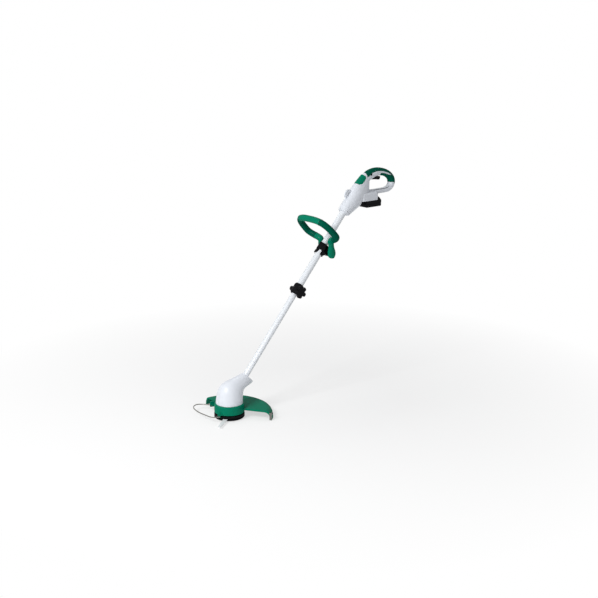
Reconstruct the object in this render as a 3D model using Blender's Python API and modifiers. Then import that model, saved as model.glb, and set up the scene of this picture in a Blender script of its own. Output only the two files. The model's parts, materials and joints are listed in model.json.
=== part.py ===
"""Cordless brush cutter with a telescopic shaft, a loop front handle and a D-shaped rear handle.

Frame: the origin is the centre of the flat glide face under the cutter, +Z is up along the
cutter's spindle, -X is the working direction and +Y is the machine's right side.
The shaft rises towards +X. Pieces on the shaft are modelled in the shaft's own frame: its Z
runs up along the pipes, its X points to the underside and its Y is the machine's Y.
"""

import bpy
import bmesh
from math import pi, sin, cos, radians, atan2, sqrt, copysign
from mathutils import Vector, Matrix

MM = 0.001

# Shared fits
GAP = 0.3 * MM             # between pieces that touch
RUNNING_GAP = 0.4 * MM     # between pieces that move past each other
BIG = 400 * MM             # reach of the cutting shapes that only trim

# Shaft
SHAFT_ANGLE = radians(49.5)
SHAFT_FOOT_HEIGHT = 58 * MM
LOWER_PIPE_RADIUS = 12.0 * MM
LOWER_PIPE_WALL = 1.2 * MM
LOWER_PIPE_START = 62 * MM
UPPER_PIPE_RADIUS = 13.6 * MM
UPPER_PIPE_START = 500 * MM
LOWER_PIPE_END = UPPER_PIPE_START + 150 * MM
UPPER_PIPE_END = 958 * MM

# Cutter
GLIDE_RADIUS = 16 * MM
GLIDE_FLANGE = 6 * MM
NUT_TOP = 8 * MM
NUT_BOSS_RADIUS = 10 * MM
CUTTER_RADIUS = 58.6 * MM
COVER_BOTTOM = 1.5 * MM
COVER_TOP = 8 * MM
SLOT_TOP = 11 * MM
HUB_CORE_RADIUS = 32 * MM
HUB_TOP = 22 * MM
HUB_BOSS_RADIUS = 11 * MM
HUB_BOSS_TOP = 34 * MM
SPINDLE_RADIUS = 4 * MM
SPINDLE_START = 2.3 * MM
SPINDLE_END = 127 * MM
BLADE_PIVOT_RADIUS = 46 * MM
CUTTING_RADIUS = 139 * MM
BLADE_DIRECTION = radians(218)
BLADE_ROOT_WIDTH = 17 * MM
BLADE_TIP_WIDTH = 11 * MM
PIN_RADIUS = 2.5 * MM
PIN_DEPTH = 4 * MM

# Guard
RING_BOTTOM = 24 * MM
RING_TOP = 57 * MM
RING_RADIUS = 58 * MM
RING_WALL = 2.6 * MM
RING_DECK = 3.4 * MM
GUARD_THICKNESS = 2.6 * MM
GUARD_HEIGHT = 39 * MM
GUARD_RIM_RADIUS = 167.5 * MM
GUARD_RIM_BOTTOM = 1 * MM
GUARD_NEAR_ANGLE = radians(-54)
GUARD_FAR_ANGLE = radians(88)
GUARD_END_LIP = 4.5 * MM

# Wire guard: its two pivot points and height, seen from above
WIRE_RADIUS = 2 * MM
WIRE_HEIGHT = 22 * MM
WIRE_NEAR = Vector((-63 * MM, -20 * MM, WIRE_HEIGHT))
WIRE_FAR = Vector((-16 * MM, 99 * MM, WIRE_HEIGHT))
WIRE_LUG = 4 * MM

# Motor
MOTOR_RADIUS = 25 * MM
MOTOR_WALL = 1.6 * MM
MOTOR_BOTTOM = 64 * MM
MOTOR_TOP = 116 * MM
ARMATURE_RADIUS = 21.5 * MM
BEARING_RADIUS = 9.5 * MM
BEARING_HEIGHT = 6 * MM
HOUSING_WALL = 2.6 * MM
HOUSING_RADIUS = 51.3 * MM
NECK_END = 122.7 * MM

# Length clamp
COLLAR_START = UPPER_PIPE_START - 5 * MM
COLLAR_END = COLLAR_START + 45 * MM
COLLAR_RADIUS = 19.5 * MM
KNOB_PLACE = COLLAR_START + 16 * MM
KNOB_RADIUS = 25 * MM
KNOB_THICKNESS = 14 * MM
KNOB_LOBES = 5
KNOB_BOLT_RADIUS = 3 * MM

# Loop handle
CLAMP_START = 684 * MM
CLAMP_END = CLAMP_START + 47 * MM
CLAMP_RADIUS = 19.3 * MM
LOOP_PIVOT_ALONG = CLAMP_START + 29.5 * MM
LOOP_PIVOT_UNDER = 33 * MM
LOOP_PLACE = CLAMP_START + 74 * MM
LOOP_HALF_WIDTH = 87 * MM
LOOP_WIDEST = 43 * MM
LOOP_RISE = 88 * MM
LOOP_LEAN = 0.1             # how far the ring leans back for each step up
LOOP_RADIUS = 13 * MM
LOOP_CORE_RADIUS = 11 * MM
LEG_SIDE = 31 * MM
LEG_HALF_THICKNESS = 9.5 * MM
LEG_BULB_RADIUS = 19 * MM
LOOP_BOLT_RADIUS = 4 * MM
LOOP_SIDES = 12
SLEEVE_START = 78 * MM
SLEEVE_END = 213 * MM
SLEEVE_BEAD = 0.7 * MM
SLEEVE_BEAD_WIDTH = 4 * MM

# Rear housing: its pieces are set out in the side view from its nose on the shaft
NOSE_PLACE = UPPER_PIPE_END - 74 * MM
NOSE_X = NOSE_PLACE * cos(SHAFT_ANGLE)
NOSE_Z = SHAFT_FOOT_HEIGHT + NOSE_PLACE * sin(SHAFT_ANGLE)
BODY_TOP = 23.5 * MM
GRIP_THICKNESS = 2.8 * MM
SPLIT = 0.15 * MM
BASE_FRONT = NOSE_X + 77.9 * MM
BASE_REAR = NOSE_X + 168.9 * MM
BASE_REAR_LOW = NOSE_X + 164.1 * MM
BASE_BOTTOM = NOSE_Z + 38.1 * MM
BASE_STEP = NOSE_Z + 53.1 * MM
BASE_TOP = NOSE_Z + 70.8 * MM
BASE_HALF_WIDTH = 29 * MM
HANGER_START = NOSE_PLACE + 57 * MM
HANGER_END = HANGER_START + 32 * MM
HANGER_FOOT = 15 * MM
HANGER_SLOT = 29 * MM
REAR_SCREWS = ((NOSE_X + 32.6 * MM, NOSE_Z + 3.9 * MM, 12 * MM),
               (NOSE_X + 55.9 * MM, NOSE_Z + 84.8 * MM, 16 * MM),
               (NOSE_X + 111.9 * MM, NOSE_Z + 95.8 * MM, 10 * MM),
               (NOSE_X + 231.9 * MM, NOSE_Z + 70.8 * MM, 8 * MM))

# Battery
BATTERY_FRONT = NOSE_X + 100.9 * MM
BATTERY_REAR = NOSE_X + 182.9 * MM
BATTERY_BOTTOM = NOSE_Z + 10.8 * MM
BATTERY_TOP = NOSE_Z + 37.8 * MM
BATTERY_SEAM = NOSE_Z + 23.8 * MM
BATTERY_HALF_WIDTH = 27.5 * MM
HUMP_FRONT = NOSE_X + 164.5 * MM
RAIL_HALF_WIDTH = 22 * MM
RAIL_NECK = 17 * MM
RAIL_FRONT = NOSE_X + 115.9 * MM
RAIL_REAR = NOSE_X + 161.9 * MM
RAIL_STEP = NOSE_Z + 45.8 * MM
RAIL_TOP = NOSE_Z + 53.8 * MM
TERMINAL_SIDES = (-11 * MM, -3.7 * MM, 3.7 * MM, 11 * MM)
TERMINAL_HALF = 15 * MM

# Switches
SWITCH_LOW = (NOSE_X + 147.9 * MM, -8 * MM, NOSE_Z + 143.3 * MM)
SWITCH_HIGH = (NOSE_X + 195.9 * MM, 8 * MM, NOSE_Z + 155.3 * MM)
TRIGGER_PIVOT = (NOSE_X + 141.9 * MM, NOSE_Z + 127.8 * MM)
TRIGGER_HALF_WIDTH = 7 * MM
LOCK_PLACE = (NOSE_X + 137.4 * MM, NOSE_Z + 140.8 * MM)
LOCK_RADIUS = 4 * MM
LOCK_REACH = 17.5 * MM

# Screws
SCREW_RADIUS = 1.8 * MM
SCREW_HEAD_RADIUS = 3.4 * MM
SCREW_HEAD_HEIGHT = 2.4 * MM
CASE_SCREW_LENGTH = 22 * MM
GUARD_SCREW_LENGTH = 12 * MM
GUARD_SCREW_RADIUS = HOUSING_RADIUS - 6 * MM
GUARD_SCREW_ANGLES = (70, 190, 310)


for old in list(bpy.data.objects):
    bpy.data.objects.remove(old, do_unlink=True)

PARTS = bpy.data.collections.new("cordless_brush_cutter")
CUTTERS = bpy.data.collections.new("cutting_shapes")
bpy.context.scene.collection.children.link(PARTS)
bpy.context.scene.collection.children.link(CUTTERS)


def finish(name, colour, roughness, metallic=0.0):
    """A plain Principled material."""
    mat = bpy.data.materials.new(name)
    mat.use_nodes = True
    shader = mat.node_tree.nodes["Principled BSDF"]
    shader.inputs["Base Color"].default_value = (*colour, 1.0)
    shader.inputs["Roughness"].default_value = roughness
    shader.inputs["Metallic"].default_value = metallic
    mat.diffuse_color = (*colour, 1.0)
    return mat


WHITE = finish("white_plastic", (0.78, 0.80, 0.86), 0.32)
GREEN = finish("green_plastic", (0.01, 0.22, 0.12), 0.3)
RUBBER = finish("green_rubber", (0.004, 0.11, 0.06), 0.6)
BLACK = finish("black_plastic", (0.01, 0.01, 0.014), 0.35)
PIPE = finish("coated_pipe", (0.80, 0.81, 0.84), 0.25, 0.4)
STEEL = finish("steel", (0.55, 0.55, 0.57), 0.3, 1.0)
NYLON = finish("cutting_nylon", (0.85, 0.86, 0.84), 0.4)
COPPER = finish("motor_winding", (0.45, 0.22, 0.1), 0.4, 1.0)


def put(name, mesh, look=None, parent=None, place=(0, 0, 0), turn=(0, 0, 0)):
    """Place a mesh as a part, or as a hidden cutting shape where it has no look."""
    ob = bpy.data.objects.new(name, mesh)
    (PARTS if look else CUTTERS).objects.link(ob)
    ob.parent = parent
    ob.location = place
    ob.rotation_euler = turn
    if look:
        mesh.materials.clear()
        mesh.materials.append(look)
    else:
        ob.hide_render = True
        ob.display_type = 'WIRE'
    return ob


def empty(name, place, turn=(0, 0, 0), parent=None):
    """A frame or joint axis that carries parts."""
    ob = bpy.data.objects.new(name, None)
    CUTTERS.objects.link(ob)
    ob.empty_display_size = 20 * MM
    ob.parent = parent
    ob.location = place
    ob.rotation_euler = turn
    return ob


def from_bmesh(name, bm):
    mesh = bpy.data.meshes.new(name)
    bm.to_mesh(mesh)
    bm.free()
    return mesh


def box(name, low, high):
    """A block between two corners."""
    bm = bmesh.new()
    bmesh.ops.create_cube(bm, size=1.0)
    low, high = Vector(low), Vector(high)
    size = high - low
    bmesh.ops.scale(bm, vec=size, verts=bm.verts)
    bmesh.ops.translate(bm, vec=(low + high) / 2, verts=bm.verts)
    return from_bmesh(name, bm)


def rod(name, radius, start, end, sides=24, end_radius=None):
    """A cylinder or cone along Z."""
    bm = bmesh.new()
    bmesh.ops.create_cone(bm, cap_ends=True, segments=sides, radius1=radius,
                          radius2=radius if end_radius is None else end_radius,
                          depth=end - start)
    bmesh.ops.translate(bm, vec=(0, 0, (start + end) / 2), verts=bm.verts)
    mesh = from_bmesh(name, bm)
    mesh.shade_smooth()
    mesh.set_sharp_from_angle(angle=radians(35))
    return mesh


def profile_mesh(name, points, closed):
    """Edges of a turned profile, given as radius and height, outer side top to bottom."""
    mesh = bpy.data.meshes.new(name)
    count = len(points)
    edges = [(i, i + 1) for i in range(count - 1)]
    if closed:
        edges.append((count - 1, 0))
    mesh.from_pydata([(r, 0, z) for r, z in points], edges, [])
    return mesh


def turned(name, points, look=None, parent=None, place=(0, 0, 0), turn=(0, 0, 0), sides=32,
           closed=None):
    """A turned piece: a profile spun by a Screw modifier."""
    if closed is None:
        closed = min(r for r, _ in points) > 0
    ob = put(name, profile_mesh(name, points, closed), look, parent, place, turn)
    screw = ob.modifiers.new("spin", 'SCREW')
    screw.steps = sides
    screw.render_steps = sides
    screw.use_merge_vertices = True
    screw.merge_threshold = 0.00001
    screw.use_smooth_shade = True
    screw.use_normal_calculate = False
    return ob


def ring_profile(inner, outer, low, high):
    return [(outer, high), (outer, low), (inner, low), (inner, high)]


def loft(name, rings, ring_closed=False):
    """Skin a row of rings that have equal counts; the ends are capped or joined."""
    bm = bmesh.new()
    rows = [[bm.verts.new(p) for p in ring] for ring in rings]
    count = len(rows[0])
    pairs = list(zip(rows, rows[1:]))
    if ring_closed:
        pairs.append((rows[-1], rows[0]))
    for near, far in pairs:
        for i in range(count):
            j = (i + 1) % count
            bm.faces.new((near[i], near[j], far[j], far[i]))
    if not ring_closed:
        bm.faces.new(list(reversed(rows[0])))
        bm.faces.new(rows[-1])
    bmesh.ops.recalc_face_normals(bm, faces=bm.faces)
    mesh = from_bmesh(name, bm)
    mesh.shade_smooth()
    mesh.set_sharp_from_angle(angle=radians(35))
    return mesh


def flat_curve(name, outlines, half_thickness, edge=0.0, edge_steps=1):
    """Flat outlines, the first one outside and the others holes, with thickness along Z."""
    curve = bpy.data.curves.new(name, 'CURVE')
    curve.dimensions = '2D'
    curve.fill_mode = 'BOTH'
    curve.extrude = half_thickness - edge
    curve.bevel_depth = edge
    curve.bevel_resolution = edge_steps
    curve.offset = -edge
    for outline in outlines:
        spline = curve.splines.new('POLY')
        spline.points.add(len(outline) - 1)
        for point, (x, y) in zip(spline.points, outline):
            point.co = (x, y, 0, 1)
        spline.use_cyclic_u = True
    ob = bpy.data.objects.new(name, curve)
    bpy.context.scene.collection.objects.link(ob)
    mesh = bpy.data.meshes.new_from_object(
        ob.evaluated_get(bpy.context.evaluated_depsgraph_get()))
    bpy.data.objects.remove(ob, do_unlink=True)
    bm = bmesh.new()
    bm.from_mesh(mesh)
    bmesh.ops.remove_doubles(bm, verts=bm.verts, dist=0.00001)
    bmesh.ops.recalc_face_normals(bm, faces=bm.faces)
    bm.to_mesh(mesh)
    bm.free()
    mesh.name = name
    mesh.shade_smooth()
    mesh.set_sharp_from_angle(angle=radians(35))
    return mesh


SIDE_VIEW = (pi / 2, 0, 0)     # a flat outline in X and Y stands up in X and Z, Z goes to -Y
FROM_RIGHT = (-pi / 2, 0, 0)   # a screw's head faces +Y


def baked(ob, name):
    """The object's mesh with its modifiers applied, in world space."""
    depsgraph = bpy.context.evaluated_depsgraph_get()
    depsgraph.update()
    mesh = bpy.data.meshes.new_from_object(ob.evaluated_get(depsgraph))
    mesh.transform(ob.matrix_world)
    mesh.name = name
    return mesh


def tidy(mesh):
    """Merge points that a Boolean left closer together than the finest detail."""
    bm = bmesh.new()
    bm.from_mesh(mesh)
    bmesh.ops.remove_doubles(bm, verts=bm.verts, dist=0.05 * MM)
    bmesh.ops.dissolve_degenerate(bm, dist=0.02 * MM, edges=bm.edges)
    bm.to_mesh(mesh)
    bm.free()


def cut(ob, tool, operation='DIFFERENCE'):
    mod = ob.modifiers.new(tool.name, 'BOOLEAN')
    mod.operation = operation
    mod.object = tool
    return ob


def oval(top, bottom, half_width, count=24, power=2.2, inset=0.0):
    """A superellipse in the plane through two points of the side view and the Y axis."""
    top, bottom = Vector(top), Vector(bottom)
    centre = (top + bottom) / 2
    reach = (top - bottom) / 2
    reach = reach * max(0.05, 1 - inset / reach.length)
    side = Vector((0, half_width - inset, 0))
    ring = []
    for i in range(count):
        turn = 2 * pi * (i + 0.5) / count
        c = copysign(abs(cos(turn)) ** (2 / power), cos(turn))
        s = copysign(abs(sin(turn)) ** (2 / power), sin(turn))
        ring.append(centre + reach * c + side * s)
    return ring


def circle_points(centre_x, centre_y, radius, count, start=0.0, sweep=2 * pi):
    full = abs(sweep - 2 * pi) < 1e-6
    steps = count if full else count - 1
    return [(centre_x + radius * cos(start + sweep * i / steps),
             centre_y + radius * sin(start + sweep * i / steps)) for i in range(count)]


# Frames
shaft = empty("shaft_axis", (0, 0, SHAFT_FOOT_HEIGHT), (0, pi / 2 - SHAFT_ANGLE, 0))
ALONG = Vector((cos(SHAFT_ANGLE), 0, sin(SHAFT_ANGLE)))
OVER = Vector((-sin(SHAFT_ANGLE), 0, cos(SHAFT_ANGLE)))
FOOT = Vector((0, 0, SHAFT_FOOT_HEIGHT))


def on_shaft(along, over, side=0.0):
    """World point from a distance along the shaft, a height over its axis and a side offset."""
    return FOOT + ALONG * along + OVER * over + Vector((0, side, 0))


def side_point(x, z):
    return Vector((x, 0, z))


def screw(name, place, turn, length, parent=None):
    """A pan-head screw whose head's underside is at its origin and whose shank runs to -Z."""
    points = [(0, SCREW_HEAD_HEIGHT), (SCREW_HEAD_RADIUS * 0.7, SCREW_HEAD_HEIGHT),
              (SCREW_HEAD_RADIUS, SCREW_HEAD_HEIGHT * 0.45), (SCREW_HEAD_RADIUS, 0),
              (SCREW_RADIUS, 0), (SCREW_RADIUS, -length), (0, -length)]
    return turned(name, points, STEEL, parent, place, turn, sides=12)


def screw_hole(name, place, turn, length, parent=None, sink=BIG):
    """The cutting shape that leaves a clearance round a screw and its counterbore."""
    points = [(0, sink), (SCREW_HEAD_RADIUS + GAP, sink), (SCREW_HEAD_RADIUS + GAP, -GAP),
              (SCREW_RADIUS + GAP, -GAP), (SCREW_RADIUS + GAP, -length - GAP), (0, -length - GAP)]
    return turned(name, points, None, parent, place, turn, sides=12)


# The cutting shapes that split a housing into its two halves
keep_left = put("trim_right_side", box("trim_right_side", (-BIG, -SPLIT, -BIG),
                                        (3 * BIG, BIG, 3 * BIG)))
keep_right = put("trim_left_side", box("trim_left_side", (-BIG, -BIG, -BIG),
                                        (3 * BIG, SPLIT, 3 * BIG)))


def make_cutter():
    """The rotating cutter: spindle, hub, cover, nut, pins, blades and fan."""
    axis = empty("spindle_axis", (0, 0, 0))
    turned("spindle", [(0, SPINDLE_END), (SPINDLE_RADIUS, SPINDLE_END),
                       (SPINDLE_RADIUS, SPINDLE_START), (0, SPINDLE_START)],
           STEEL, axis, sides=20)
    bore = SPINDLE_RADIUS + GAP
    turned("hub_nut", [(0, 2 * MM), (bore, 2 * MM), (bore, NUT_TOP), (NUT_BOSS_RADIUS, NUT_TOP),
                       (NUT_BOSS_RADIUS, GLIDE_FLANGE), (GLIDE_RADIUS, GLIDE_FLANGE),
                       (GLIDE_RADIUS, 1 * MM), (GLIDE_RADIUS - 1 * MM, 0), (0, 0)],
           BLACK, axis, sides=24)
    rim = CUTTER_RADIUS
    cover = turned("cutter_cover",
                   [(rim, COVER_TOP), (rim, COVER_BOTTOM + 3.5 * MM),
                    (rim - 2.5 * MM, COVER_BOTTOM + 1 * MM), (rim - 7 * MM, COVER_BOTTOM),
                    (GLIDE_RADIUS + GAP, COVER_BOTTOM), (GLIDE_RADIUS + GAP, GLIDE_FLANGE + GAP),
                    (NUT_BOSS_RADIUS + GAP, GLIDE_FLANGE + GAP),
                    (NUT_BOSS_RADIUS + GAP, COVER_TOP)], BLACK, axis, sides=40)
    hub = turned("cutter_hub",
                 [(rim - 1 * MM, HUB_TOP - 2 * MM), (rim, HUB_TOP - 4 * MM), (rim, SLOT_TOP),
                  (HUB_CORE_RADIUS, SLOT_TOP), (HUB_CORE_RADIUS, COVER_TOP + GAP), (bore, COVER_TOP + GAP),
                  (bore, HUB_BOSS_TOP), (HUB_BOSS_RADIUS, HUB_BOSS_TOP),
                  (HUB_BOSS_RADIUS + 2 * MM, HUB_TOP + 3 * MM), (rim - 14 * MM, HUB_TOP)],
                 BLACK, axis, sides=40)
    for letter, direction in (("a", BLADE_DIRECTION), ("b", BLADE_DIRECTION + pi)):
        place = (BLADE_PIVOT_RADIUS * cos(direction), BLADE_PIVOT_RADIUS * sin(direction), 0)
        pin_low = COVER_TOP - PIN_DEPTH
        pin_high = SLOT_TOP + PIN_DEPTH
        put("blade_pin_" + letter, rod("blade_pin_" + letter, PIN_RADIUS, pin_low + GAP,
                                       pin_high - GAP, 14), STEEL, axis, place)
        hole = put("pin_hole_" + letter, rod("pin_hole_" + letter, PIN_RADIUS + GAP, pin_low,
                                             pin_high, 14), None, axis, place)
        cut(cover, hole)
        cut(hub, hole)
        make_blade(letter, place, direction)
    blades = 9
    outline = []
    for i in range(blades):
        start = 2 * pi * i / blades
        outline += circle_points(0, 0, 34 * MM, 2, start, radians(9))
        outline += circle_points(0, 0, 15 * MM, 3, start + radians(14), radians(20))
    bore_ring = circle_points(0, 0, bore, 16)
    put("cooling_fan", flat_curve("cooling_fan", [outline, bore_ring[::-1]], 4.5 * MM), BLACK,
        axis, (0, 0, 43 * MM))
    turned("armature", [(ARMATURE_RADIUS, 108 * MM), (ARMATURE_RADIUS, 74 * MM), (13 * MM, 70 * MM),
                        (bore, 70 * MM), (bore, 113 * MM), (12 * MM, 113 * MM)],
           COPPER, axis, sides=24)


def make_blade(letter, place, direction):
    """A nylon blade: a round eye on its pin, tapering to a swept tip."""
    length = CUTTING_RADIUS - BLADE_PIVOT_RADIUS
    half_root = BLADE_ROOT_WIDTH / 2
    half_tip = BLADE_TIP_WIDTH / 2
    outline = circle_points(0, 0, half_root, 13, radians(90), radians(180))
    steps = 5
    for i in range(1, steps + 1):
        share = i / steps
        outline.append((length * share * 0.97, -half_root + (half_root - half_tip) * share))
    outline += [(length, -half_tip * 0.2), (length * 0.985, half_tip * 0.7)]
    for i in range(steps, 0, -1):
        share = i / steps
        outline.append((length * share * 0.93, half_root - (half_root - half_tip) * share))
    eye = circle_points(0, 0, PIN_RADIUS + GAP, 12)
    thickness = SLOT_TOP - COVER_TOP - 2 * RUNNING_GAP
    pivot = empty("blade_pivot_" + letter, place, (0, 0, direction))
    put("blade_" + letter, flat_curve("blade_" + letter, [outline, eye[::-1]], thickness / 2),
        NYLON, pivot, (0, 0, (SLOT_TOP + COVER_TOP) / 2))


def sector_rings(profile_at, start, end, steps):
    """Rings of a turned sector: a radius and height profile carried from one angle to another."""
    rings = []
    for i in range(steps + 1):
        turn = start + (end - start) * i / steps
        rings.append([(r * cos(turn), r * sin(turn), z) for r, z in profile_at(i / steps)])
    return rings


def make_guard():
    """The green guard: the hub ring, the curved fender and the lugs of the wire guard."""
    rim, low, flat = GUARD_RIM_RADIUS, GUARD_RIM_BOTTOM, GUARD_HEIGHT
    curve_start = rim - 26 * MM
    wall = GUARD_THICKNESS
    end_share = 0.012

    def fender_profile(share):
        outer = [(RING_RADIUS - 1.2 * MM, flat)]
        outer += [(curve_start, flat - 1.5 * MM)]
        arc = 5
        for i in range(1, arc + 1):
            turn = pi / 2 * i / arc
            outer.append((curve_start + (rim - curve_start) * sin(turn),
                          flat - 1.5 * MM - (flat - low - 9 * MM) * (1 - cos(turn))))
        outer.append((rim + 1 * MM, low))
        lip = GUARD_END_LIP if share < end_share or share > 1 - end_share else 0.0
        inner = [(r - wall * (0.25 + 0.75 * max(0, (r - curve_start) / (rim - curve_start))),
                  max(z - wall - lip, low)) for r, z in outer]
        inner[0] = (outer[0][0], flat - wall - lip)
        return outer + inner[::-1]

    fender = put("fender_solid", loft("fender_solid", sector_rings(
        fender_profile, GUARD_NEAR_ANGLE, GUARD_FAR_ANGLE, 90)[:2] + sector_rings(
        fender_profile, GUARD_NEAR_ANGLE, GUARD_FAR_ANGLE, 24)[1:-1] + sector_rings(
        fender_profile, GUARD_NEAR_ANGLE, GUARD_FAR_ANGLE, 90)[-2:]))
    ring = turned("guard", [(RING_RADIUS - 2 * MM, RING_TOP), (RING_RADIUS, RING_TOP - 2 * MM),
                            (RING_RADIUS, RING_BOTTOM), (RING_RADIUS - RING_WALL, RING_BOTTOM),
                            (RING_RADIUS - RING_WALL, RING_TOP - RING_DECK),
                            (BEARING_RADIUS + 4 * MM, RING_TOP - RING_DECK),
                            (BEARING_RADIUS + 4 * MM, RING_TOP)], GREEN, sides=48)
    cut(ring, fender, 'UNION')
    chord = (WIRE_FAR - WIRE_NEAR).normalized()
    heading = atan2(chord.y, chord.x)
    near_lug = put("near_lug", box("near_lug", (-WIRE_LUG, -5 * MM, -5 * MM),
                                   (WIRE_LUG, 4.5 * MM, 9 * MM)), None, None,
                   WIRE_NEAR, (0, 0, heading - pi))
    near_arm = put("near_arm", box("near_arm", (-WIRE_LUG + 0.8 * MM, -4 * MM, 2.6 * MM),
                                   (WIRE_LUG - 0.8 * MM, 13 * MM, 8 * MM)), None, None,
                   WIRE_NEAR, (0, 0, heading - pi))
    far_lug = put("far_lug", box("far_lug", (-WIRE_LUG, -5 * MM, -5 * MM),
                                 (WIRE_LUG, 26 * MM, flat - WIRE_HEIGHT - 1.2 * MM)), None, None,
                  WIRE_FAR, (0, 0, heading - pi))
    cut(ring, near_lug, 'UNION')
    cut(ring, near_arm, 'UNION')
    cut(ring, far_lug, 'UNION')
    short_hole = put("wire_hole_near", rod("wire_hole_near", WIRE_RADIUS + GAP, -8 * MM, 8 * MM, 14),
                     None, None, WIRE_NEAR, (0, pi / 2, heading))
    far_hole = put("wire_hole_far", rod("wire_hole_far", WIRE_RADIUS + GAP, -8 * MM, 8 * MM, 14),
                   None, None, WIRE_FAR, (0, pi / 2, heading))
    cut(ring, short_hole)
    cut(ring, far_hole)
    deck_under = RING_TOP - RING_DECK
    for i, (x, y) in enumerate(guard_screw_spots()):
        place = (x, y, deck_under)
        number = str(i + 1)
        screw("guard_screw_" + number, place, (pi, 0, 0), GUARD_SCREW_LENGTH)
        hole = screw_hole("guard_screw_hole_" + number, place, (pi, 0, 0), GUARD_SCREW_LENGTH,
                          sink=GAP)
        cut(ring, hole)


def guard_screw_spots():
    """Plan places of the three screws that hold the guard's ring under the motor housing."""
    turns = [radians(angle) for angle in GUARD_SCREW_ANGLES]
    return [(GUARD_SCREW_RADIUS * cos(turn), GUARD_SCREW_RADIUS * sin(turn)) for turn in turns]


def wire_path():
    """Centre line of the wire guard: a pin in each lug and the hoop between them."""
    chord = (WIRE_FAR - WIRE_NEAR).normalized()
    out = Vector((-chord.y, chord.x, 0))
    span = (WIRE_FAR - WIRE_NEAR).length
    pin = WIRE_LUG + 3.2 * MM

    def spot(along, away):
        return WIRE_NEAR + chord * along + out * away

    hoop = [(-0.055 * span, 0.085 * span), (-0.03 * span, 0.19 * span), (0.06 * span, 0.28 * span),
            (0.20 * span, 0.35 * span), (0.36 * span, 0.43 * span), (0.53 * span, 0.495 * span),
            (0.74 * span, 0.55 * span), (0.95 * span, 0.56 * span), (1.12 * span, 0.50 * span),
            (1.20 * span, 0.38 * span), (1.16 * span, 0.23 * span), (1.085 * span, 0.10 * span)]
    points = [spot(WIRE_LUG, 0), spot(-pin + 1.5 * MM, 0), spot(-pin, 1.5 * MM)]
    points += [spot(a, b) for a, b in hoop]
    points += [spot(span + pin, 1.5 * MM), spot(span + pin - 1.5 * MM, 0), spot(span - WIRE_LUG, 0)]
    return points


def smooth_path(points, steps):
    """Points on a Catmull-Rom curve through the given ones."""
    ends = [points[0] * 2 - points[1]] + list(points) + [points[-1] * 2 - points[-2]]
    path = []
    for i in range(1, len(ends) - 2):
        a, b, c, d = ends[i - 1:i + 3]
        for k in range(steps):
            t = k / steps
            path.append(0.5 * (2 * b + (c - a) * t + (2 * a - 5 * b + 4 * c - d) * t * t
                               + (3 * b - a - 3 * c + d) * t ** 3))
    path.append(Vector(points[-1]))
    return path


def make_wire_guard():
    """The steel wire hoop, a curve with a round bevel."""
    heading_point = (WIRE_NEAR + WIRE_FAR) / 2
    curve = bpy.data.curves.new("wire_guard", 'CURVE')
    curve.dimensions = '3D'
    curve.bevel_depth = WIRE_RADIUS
    curve.bevel_resolution = 1
    curve.use_fill_caps = True
    points = smooth_path(wire_path(), 3)
    spline = curve.splines.new('POLY')
    spline.points.add(len(points) - 1)
    for point, spot in zip(spline.points, points):
        point.co = (*(spot - heading_point), 1)
    ob = put("wire_guard_curve", curve)
    mesh = bpy.data.meshes.new_from_object(
        ob.evaluated_get(bpy.context.evaluated_depsgraph_get()))
    bpy.data.objects.remove(ob, do_unlink=True)
    bm = bmesh.new()
    bm.from_mesh(mesh)
    bmesh.ops.remove_doubles(bm, verts=bm.verts, dist=0.00001)
    bm.to_mesh(mesh)
    bm.free()
    put("wire_guard", mesh, STEEL, None, heading_point)


def head_sections(inset=0.0, start=0, stop=None):
    """Rings of the motor housing: each chord joins a front point and a rear point."""
    neck_top = on_shaft(NECK_END, 17.6 * MM)
    neck_low = on_shaft(NECK_END - 4 * MM, -42.5 * MM)
    base = RING_TOP + GAP
    chords = [
        (side_point(-HOUSING_RADIUS, base), side_point(HOUSING_RADIUS, base), HOUSING_RADIUS),
        (side_point(-50.3 * MM, 70 * MM), side_point(51.5 * MM, 68 * MM), 50.5 * MM),
        (side_point(-48 * MM, 88 * MM), side_point(53 * MM, 80 * MM), 48.5 * MM),
        (side_point(-43.5 * MM, 106 * MM), side_point(54.5 * MM, 91 * MM), 46 * MM),
        (side_point(-36 * MM, 122 * MM), side_point(57.5 * MM, 99.5 * MM), 42.5 * MM),
        (side_point(-25 * MM, 134.5 * MM), side_point(64 * MM, 105 * MM), 38 * MM),
        (side_point(-9 * MM, 142.5 * MM), side_point(76 * MM, 109.5 * MM), 32.5 * MM),
        (side_point(12 * MM, 148 * MM), side_point(89 * MM, 112.5 * MM), 27 * MM),
        (side_point(36 * MM, 154 * MM), side_point(101 * MM, 115.5 * MM), 22.5 * MM),
        (neck_top, neck_low, 18.5 * MM),
    ]
    return [oval(a, b, w, 28, 2.15, inset) for a, b, w in chords[start:stop]]


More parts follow.
